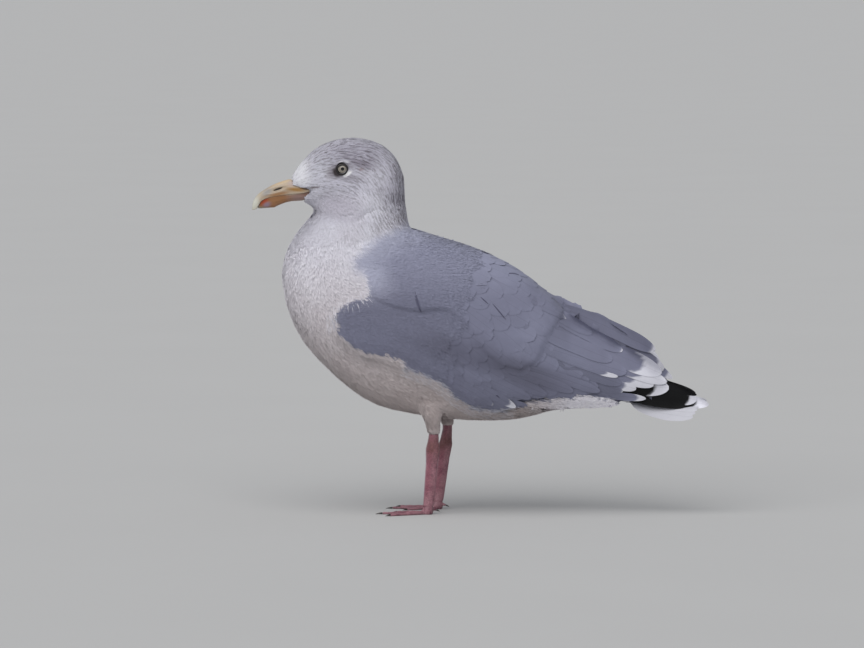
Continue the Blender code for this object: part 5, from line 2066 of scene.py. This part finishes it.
@dataclass(frozen=True)
class EyeFinish(Finish):
    """A wet eye: a small black pupil, a pale flecked iris and a dark rim, under a clear polish."""

    name: str = "wet_eye"
    pupil: float = 0.00195
    pupil_edge: float = 0.00012
    iris: float = 0.0050
    pale: tuple = (164, 158, 148)
    inner: tuple = (112, 104, 96)
    rim: tuple = (20, 15, 14)
    black: tuple = (0.003, 0.003, 0.004, 1)

    def shade(self, nodes: Nodes, shader: Node) -> None:
        """Feeds the shader with the pupil, the iris and its rim, by their reach from the middle."""
        parts = nodes.add("ShaderNodeSeparateXYZ")
        nodes.feed(parts, 0, nodes.layer("eye_place", "Vector"))
        out = parts.outputs[0]
        flat = nodes.add("ShaderNodeCombineXYZ")
        nodes.fill(flat, {0: nodes.math("MULTIPLY", parts.outputs[1], 9.0),
                          1: nodes.math("MULTIPLY", out, 500.0)})
        spokes = nodes.add("ShaderNodeTexNoise", noise_dimensions="2D")
        nodes.fill(spokes, {"Vector": flat.outputs[0], "Scale": 1.0, "Detail": 3.0})
        fleck = nodes.ramp(spokes.outputs["Fac"], 0.35, 0.7, 0.0, 1.0)
        pale, inner, rim = ((*linear(*colour), 1) for colour in (self.pale, self.inner, self.rim))
        edge = nodes.ramp(out, self.iris - 0.0004, self.iris + 0.0001, 0.0, 1.0)
        ringed = nodes.mix(edge, nodes.mix(fleck, pale, inner), rim)
        hole = nodes.ramp(out, self.pupil - self.pupil_edge, self.pupil + self.pupil_edge, 1.0, 0.0)
        nodes.fill(shader, {
            "Base Color": nodes.mix(hole, ringed, self.black),
            "Roughness": nodes.ramp(fleck, 0.0, 1.0, 0.16, 0.24),
            "Specular IOR Level": 0.15,
            "Coat Weight": 0.6,
            "Coat Roughness": 0.03,
        })


@dataclass
class Eyes:
    """The eyeballs, each with its dark lid ring."""

    rings: int = 72
    spokes: int = 64
    lid_rows: int = 10
    lid_spokes: int = 72
    lid_in: float = 31.0
    lid_out: float = 64.0
    lid_height: float = 0.0011
    lid_colour: tuple = (26, 20, 21)
    lid_pale: tuple = (74, 60, 60)

    def build(self) -> list[Piece]:
        """Makes both eyes and both lid rings."""
        pieces = []
        for side in Side:
            low, high = (np.array(corner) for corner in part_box(f"eye_{side.word}"))
            centre, radius = (low + high) / 2, float(high[0] - low[0]) / 2
            pieces += [self.ball(side, centre, radius), self.lid(side, centre, radius)]
        return pieces

    @staticmethod
    def around(side: Side, centre: Array, radius: Array, polar: Array, turn: Array) -> Array:
        """Places at a distance from the eye's centre, by angle from its line of sight."""
        x = radius * np.sin(polar) * np.cos(turn)
        z = radius * np.sin(polar) * np.sin(turn)
        y = side.value * radius * np.cos(polar)
        return centre + np.stack([x, y, z], axis=-1)

    def ball(self, side: Side, centre: Array, radius: float) -> Piece:
        """One eyeball with a slightly fuller clear front."""
        polar = math.pi * np.linspace(0.004, 0.996, self.rings)[:, None]
        turn = np.linspace(0, 2 * math.pi, self.spokes, endpoint=False)[None]
        full = radius * (1 + 0.035 * np.exp(-(polar / 0.5) ** 2) + 0 * turn)
        grid = self.around(side, centre, full, polar + 0 * turn, turn + 0 * polar)
        ball = tube(f"eyeball_{side.word}", grid, side is Side.LEFT, True)
        points = grid.reshape(-1, 3)
        front = (points[:, 1] - centre[1]) * side.value > 0
        reach = np.hypot(points[:, 0] - centre[0], points[:, 2] - centre[2])
        reach = np.where(front, reach, 2 * radius)
        angle = np.broadcast_to(np.abs(turn - math.pi), grid.shape[:2]).ravel()
        measure(ball, "eye_place", np.stack([reach, angle, 0 * angle], axis=1))
        ball.data.materials.append(EyeFinish().material())
        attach(ball, "root")
        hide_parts(f"eye_{side.word}")
        return ball

    def lid(self, side: Side, centre: Array, radius: float) -> Piece:
        """One bare lid ring that hugs the eyeball, thicker in its middle and a little low."""
        centre = centre + np.array([-0.0003, 0.0, -0.0008])
        share = np.linspace(0, 1, self.lid_rows)[:, None]
        turn = np.linspace(0, 2 * math.pi, self.lid_spokes, endpoint=False)[None]
        opening = 1 + 0.08 * np.cos(2 * turn - 0.7) + 0.05 * np.cos(turn - 3.8)
        polar = np.radians(self.lid_in * opening + (self.lid_out - self.lid_in) * share)
        swell = np.sin(math.pi * np.clip(share * 1.5, 0, 1)) + 0.25 * (1 - share)
        wrinkle = 1 + 0.18 * np.sin(19 * turn) * share
        height = self.lid_height * swell * wrinkle - 0.0003 * share ** 3
        grid = self.around(side, centre, radius * 1.03 + height, polar, turn + 0 * share)
        lid = tube(f"lid_{side.word}", grid, side is Side.LEFT, False)
        pale = 0.6 * np.broadcast_to(smoothstep(0.5, 0.9, share), grid.shape[:2]).ravel()
        paint(lid, "tint", mixed(linear(*self.lid_colour), linear(*self.lid_pale), pale))
        lid.data.materials.append(HornFinish("bare_lid", 0.5, 0.1, 900.0, 0.3, 0.4).material())
        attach(lid, "root")
        return lid


def tube(name: str, grid: Array, turned: bool, capped: bool) -> Piece:
    """A ringed surface from a grid of rings, closed round each ring.

    Args:
        name: the piece's name.
        grid: (rings, spokes, 3).
        turned: whether the rings run the other way round.
        capped: whether the first and last rings are filled.

    Returns:
        The piece.
    """
    rings, spokes = grid.shape[:2]
    index = np.arange(rings * spokes).reshape(rings, spokes)
    following = np.roll(index, -1, axis=1)
    faces = [quads(index[:-1], following[:-1], following[1:], index[1:])]
    if capped:
        fan = np.arange(1, spokes - 1)
        first, last = index[0], index[-1]
        faces.append(np.stack([first[0] + 0 * fan, first[fan + 1], first[fan]], 1))
        faces.append(np.stack([last[0] + 0 * fan, last[fan], last[fan + 1]], 1))
    triangles = np.concatenate(faces)
    return mesh_object(name, grid.reshape(-1, 3), triangles[:, ::-1] if turned else triangles)


@dataclass
class Legs:
    """Bare legs and webbed feet: one skin each, with scutes in front and small scales behind."""

    voxel: float = 0.00075
    rounds: int = 5
    skin: tuple = (156, 110, 120)
    dusk: tuple = (116, 68, 82)
    crimson: tuple = (132, 58, 80)
    pale: tuple = (172, 146, 158)
    joint: tuple = (104, 60, 54)
    joint_height: float = 0.077
    joint_reach: float = 0.012
    claw_colour: tuple = (38, 30, 28)
    skin_tone: float = 0.72
    scute_step: float = 0.0031
    toe_step: float = 0.0023
    small_scales: int = 26000
    small_gap: float = 0.00125
    foot_top: float = 0.011
    scute_size: tuple[float, float] = (0.0045, 0.0044)
    toe_size: tuple[float, float] = (0.0033, 0.0024)
    small_size: tuple[float, float] = (0.0019, 0.0009)
    toes: tuple[str, ...] = ("outer", "middle", "inner")
    skin_finish: HornFinish = HornFinish("scaly_skin", 0.5, 0.06, 700.0, 0.24, 0.35)
    claw_finish: HornFinish = HornFinish("polished_claw", 0.38, 0.2, 900.0, 0.2, 0.15)

    def build(self, nodes: Solids) -> list[Piece]:
        """Makes both legs with their scales and claws."""
        pieces = []
        for side in Side:
            names = [f"shank_{side.word}", f"foot_{side.word}"]
            form = joined([nodes[name] for name in names], self.voxel, 0.0, self.rounds)
            leg = mesh_object(f"leg_{side.word}", form.points, form.triangles)
            paint(leg, "tint", self.skin_tone * self.colours(form.points, form.normals))
            leg.data.materials.append(self.skin_finish.material())
            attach(leg, "root")
            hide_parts(*names)
            scales = self.scales(side, form)
            claws = self.claws(side, nodes)
            pieces += [leg, scales, claws]
        return pieces

    def colours(self, points: Array, normals: Array) -> Array:
        """Dull pink with duskier random patches, redder at the heel joint and on faces turned a little
        forward, and paler, as painted light, on faces turned fully forward.
        """
        flat = points.reshape(-1, 3)
        lumps = value_noise(flat, 0.006, 31) * 0.6 + value_noise(flat, 0.0016, 32) * 0.4
        colour = mixed(linear(*self.skin), linear(*self.dusk), smoothstep(0.35, 0.9, lumps))
        facing = normals.reshape(-1, 3)[:, 0]
        above = smoothstep(0.012, 0.03, flat[:, 2])
        colour = mixed(colour, linear(*self.crimson), 0.55 * np.exp(-((facing + 0.30) / 0.35) ** 2) * above)
        # painted light: paler on faces turned forward, towards the light
        colour = mixed(colour, linear(*self.pale), 0.8 * smoothstep(0.55, 0.95, -facing) * above)
        joint = np.exp(-((flat[:, 2] - self.joint_height) / self.joint_reach) ** 2)
        return mixed(colour, linear(*self.joint), joint * (0.4 + 0.5 * lumps))

    def scales(self, side: Side, form: Surface) -> Piece:
        """Every scale of one leg: scutes down the front and along the toes, small ones between."""
        rng = np.random.default_rng(110 + side.value)
        roots, ways, lengths, halves = (np.concatenate(rows) for rows in zip(
            self.shank_scutes(side, form), self.toe_scutes(side), self.small(form, rng)))
        vanes = Vanes(rows=4, columns=5, tip=Tip.ROUND, sink=0.0001, rise=0.00022,
                      tilt=0.00004, camber=0.0001, hug=0.004)
        steps = vanes.steps
        places, normals, _ = form.snap(roots)
        line = [places]
        for step in np.diff(steps):
            onward = tangent_to(normals, ways)
            places, normals, _ = form.snap(places + onward * (lengths * step)[:, None])
            line.append(places)
        points, coords = vanes.grid(form, np.stack(line, axis=1), halves, 120)
        tone = rng.normal(1.0, 0.09, len(roots))[:, None, None, None]
        _, scale_normals, _ = form.snap(points)
        colour = self.colours(points, scale_normals).reshape(points.shape)
        colour = colour * tone * (0.72 + 0.34 * smoothstep(0.0, 0.7, coords[..., 2:3]))
        piece = vanes.piece(f"leg_scales_{side.word}", points, coords, colour, self.skin_finish)
        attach(piece, "root")
        return piece

    @staticmethod
    def sized(roots: Array, ways: Array, size: tuple[float, float]) -> tuple[Array, ...]:
        """Scales at these roots, all of one length and half width."""
        return roots, ways, np.full(len(roots), size[0]), np.full(len(roots), size[1])

    def shank_scutes(self, side: Side, form: Surface) -> tuple[Array, ...]:
        """Wide plates that overlap downwards on the front of the shank."""
        low, high = (np.array(corner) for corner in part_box(f"shank_{side.word}"))
        heights = np.arange(high[2] - 0.006, 0.013, -self.scute_step)
        middle = (low + high) / 2
        roots = []
        for z in heights.tolist():
            hit = form.tree.ray_cast(Vector((low[0] - 0.02, middle[1], z)), Vector((1, 0, 0)))[0]
            roots.append(hit if hit is not None else Vector((low[0], middle[1], z)))
        return self.sized(np.array(roots), np.tile([0.0, 0.0, -1.0], (len(roots), 1)), self.scute_size)

    def toe_scutes(self, side: Side) -> tuple[Array, ...]:
        """Small plates along the top of each front toe, from the ankle to its claw."""
        roots, ways = [], []
        ankle = np.array(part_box(f"claw_{side.word}_hind")[1])
        for toe in self.toes:
            low, high = (np.array(corner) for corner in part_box(f"claw_{side.word}_{toe}"))
            tip = np.array([high[0], (low[1] + high[1]) / 2, 0.004])
            start = np.array([ankle[0] - 0.012, side.value * 0.029, 0.012])
            run = tip - start
            length = float(np.linalg.norm(run[:2]))
            for step in np.arange(0.12, 1.0, self.toe_step / length):
                roots.append(start + run * step + np.array([0, 0, 0.002]))
                ways.append(run / np.linalg.norm(run))
        return self.sized(np.array(roots), np.array(ways), self.toe_size)

    def small(self, form: Surface, rng: Chance) -> tuple[Array, ...]:
        """Small round scales over the back of the leg, the joints and the webs."""
        roots, normals, _ = form.scatter(np.ones(len(form.triangles)), self.small_scales, rng)
        off_floor = roots[:, 2] > 0.0012
        roots, _ = thinned(roots[off_floor], normals[off_floor], self.small_gap, rng)
        on_foot = roots[:, 2] < self.foot_top
        ways = np.where(on_foot[:, None], np.array([-1.0, 0, -0.1]), np.array([0.1, 0, -1.0]))
        return self.sized(roots, ways, self.small_size)

    def claws(self, side: Side, nodes: Solids) -> Piece:
        """The four claws of one foot, smoothed."""
        names = [f"claw_{side.word}_{toe}" for toe in (*self.toes, "hind")]
        points, triangles, total = [], [], 0
        for name in names:
            form = joined([nodes[name]], 0.0003, 0.0, 4)
            points.append(form.points)
            triangles.append(form.triangles + total)
            total += len(form.points)
        points, triangles = np.concatenate(points), np.concatenate(triangles)
        claws = mesh_object(f"claws_{side.word}", points, triangles)
        tone = 0.8 + 0.5 * value_noise(points, (0.002, 0.0006, 0.0006), 41)
        paint(claws, "tint", linear(*self.claw_colour) * tone[:, None])
        claws.data.materials.append(self.claw_finish.material())
        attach(claws, "root")
        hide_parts(*names)
        return claws


# ---------------------------------------------------------------- studio and main


@dataclass(frozen=True)
class FloorFinish(Finish):
    """Pale matt paint with a faint unevenness."""

    name: str = "floor_paint"
    tone: tuple = (184, 184, 184)
    roughness: float = 0.85
    scale: float = 3.0
    amount: float = 0.04

    def shade(self, nodes: Nodes, shader: Node) -> None:
        """Feeds the shader with the paint's colour."""
        factor = nodes.mottle(self.scale, self.amount).outputs["Factor"]
        nodes.fill(shader, {"Base Color": nodes.scaled(linear(*self.tone), factor),
                            "Roughness": self.roughness})


@dataclass(frozen=True)
class Studio:
    """A pale floor, one broad soft light with an even sky, and a long lens level with the back."""

    target: tuple[float, float, float] = (-0.0525, 0.0, 0.2124)
    distance: float = 6.0
    elevation: float = 4.0
    view_width: float = 0.976
    sensor: float = 36.0
    floor_size: float = 240.0
    light_from: tuple[float, float, float] = (-0.30, -0.55, 0.78)
    light_spread: float = 75.0
    light_strength: float = 2.5
    light_tint: tuple[float, float, float] = (1.0, 0.985, 0.965)
    sky_strength: float = 0.36
    sky_tint: tuple[float, float, float, float] = (0.90, 0.94, 1.0, 1.0)

    def build(self) -> None:
        """Sets the floor, the lights and the camera."""
        self.floor()
        self.lights()
        camera = bpy.data.cameras.new("camera")
        camera.sensor_width = self.sensor
        camera.lens = self.sensor * self.distance / self.view_width
        camera.clip_end = 500
        obj = bpy.data.objects.new("camera", camera)
        turn = math.radians(self.elevation)
        aim = Vector(self.target)
        aim.z = self.target[2] / math.cos(turn)
        obj.location = aim + Vector((0, -math.cos(turn), math.sin(turn))) * self.distance
        obj.rotation_euler = (math.pi / 2 - turn, 0, 0)
        bpy.context.scene.collection.objects.link(obj)
        bpy.context.scene.camera = obj
        bpy.context.scene.view_settings.view_transform = "Standard"

    def floor(self) -> None:
        """A wide matt floor."""
        half = self.floor_size / 2
        corners = np.array([(-half, -half, 0), (half, -half, 0), (half, half, 0), (-half, half, 0)], float)
        floor = mesh_object("floor", corners, np.array([(0, 1, 2), (0, 2, 3)]))
        floor.data.materials.append(FloorFinish().material())

    def lights(self) -> None:
        """A broad soft light from above and before the bird, and an even sky."""
        light = bpy.data.lights.new("overcast_light", "SUN")
        light.angle = math.radians(self.light_spread)
        light.energy = self.light_strength
        light.color = self.light_tint
        obj = bpy.data.objects.new("overcast_light", light)
        obj.rotation_euler = (Vector(self.light_from) * -1).to_track_quat("-Z", "Y").to_euler()
        bpy.context.scene.collection.objects.link(obj)
        world = bpy.data.worlds.new("sky")
        world.use_nodes = True
        back = world.node_tree.nodes["Background"]
        back.inputs["Color"].default_value = self.sky_tint
        back.inputs["Strength"].default_value = self.sky_strength
        bpy.context.scene.world = world


def main() -> None:
    """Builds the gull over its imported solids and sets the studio."""
    logging.basicConfig(level=logging.INFO, format="%(asctime)s %(message)s")
    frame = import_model()
    nodes = frame["nodes"]
    Studio().build()
    body = Body()
    body.build(nodes)
    log.info("form: %d triangles", len(body.surface.triangles))
    pieces = [body.skin()]
    log.info("skin laid")
    pieces += SoftCoat().build(body)
    log.info("soft coat laid")
    wings = Wings()
    pieces += wings.build(body)
    log.info("wing feathers laid")
    pieces += WingEnds().build(body, wings, nodes)
    pieces.append(Tail().build(body, nodes))
    pieces += Bill().build(nodes)
    pieces += Eyes().build()
    pieces += Legs().build(nodes)
    for piece in pieces:
        log.info("%s: %d faces", piece.name, len(piece.data.polygons))


if __name__ == "__main__":
    main()
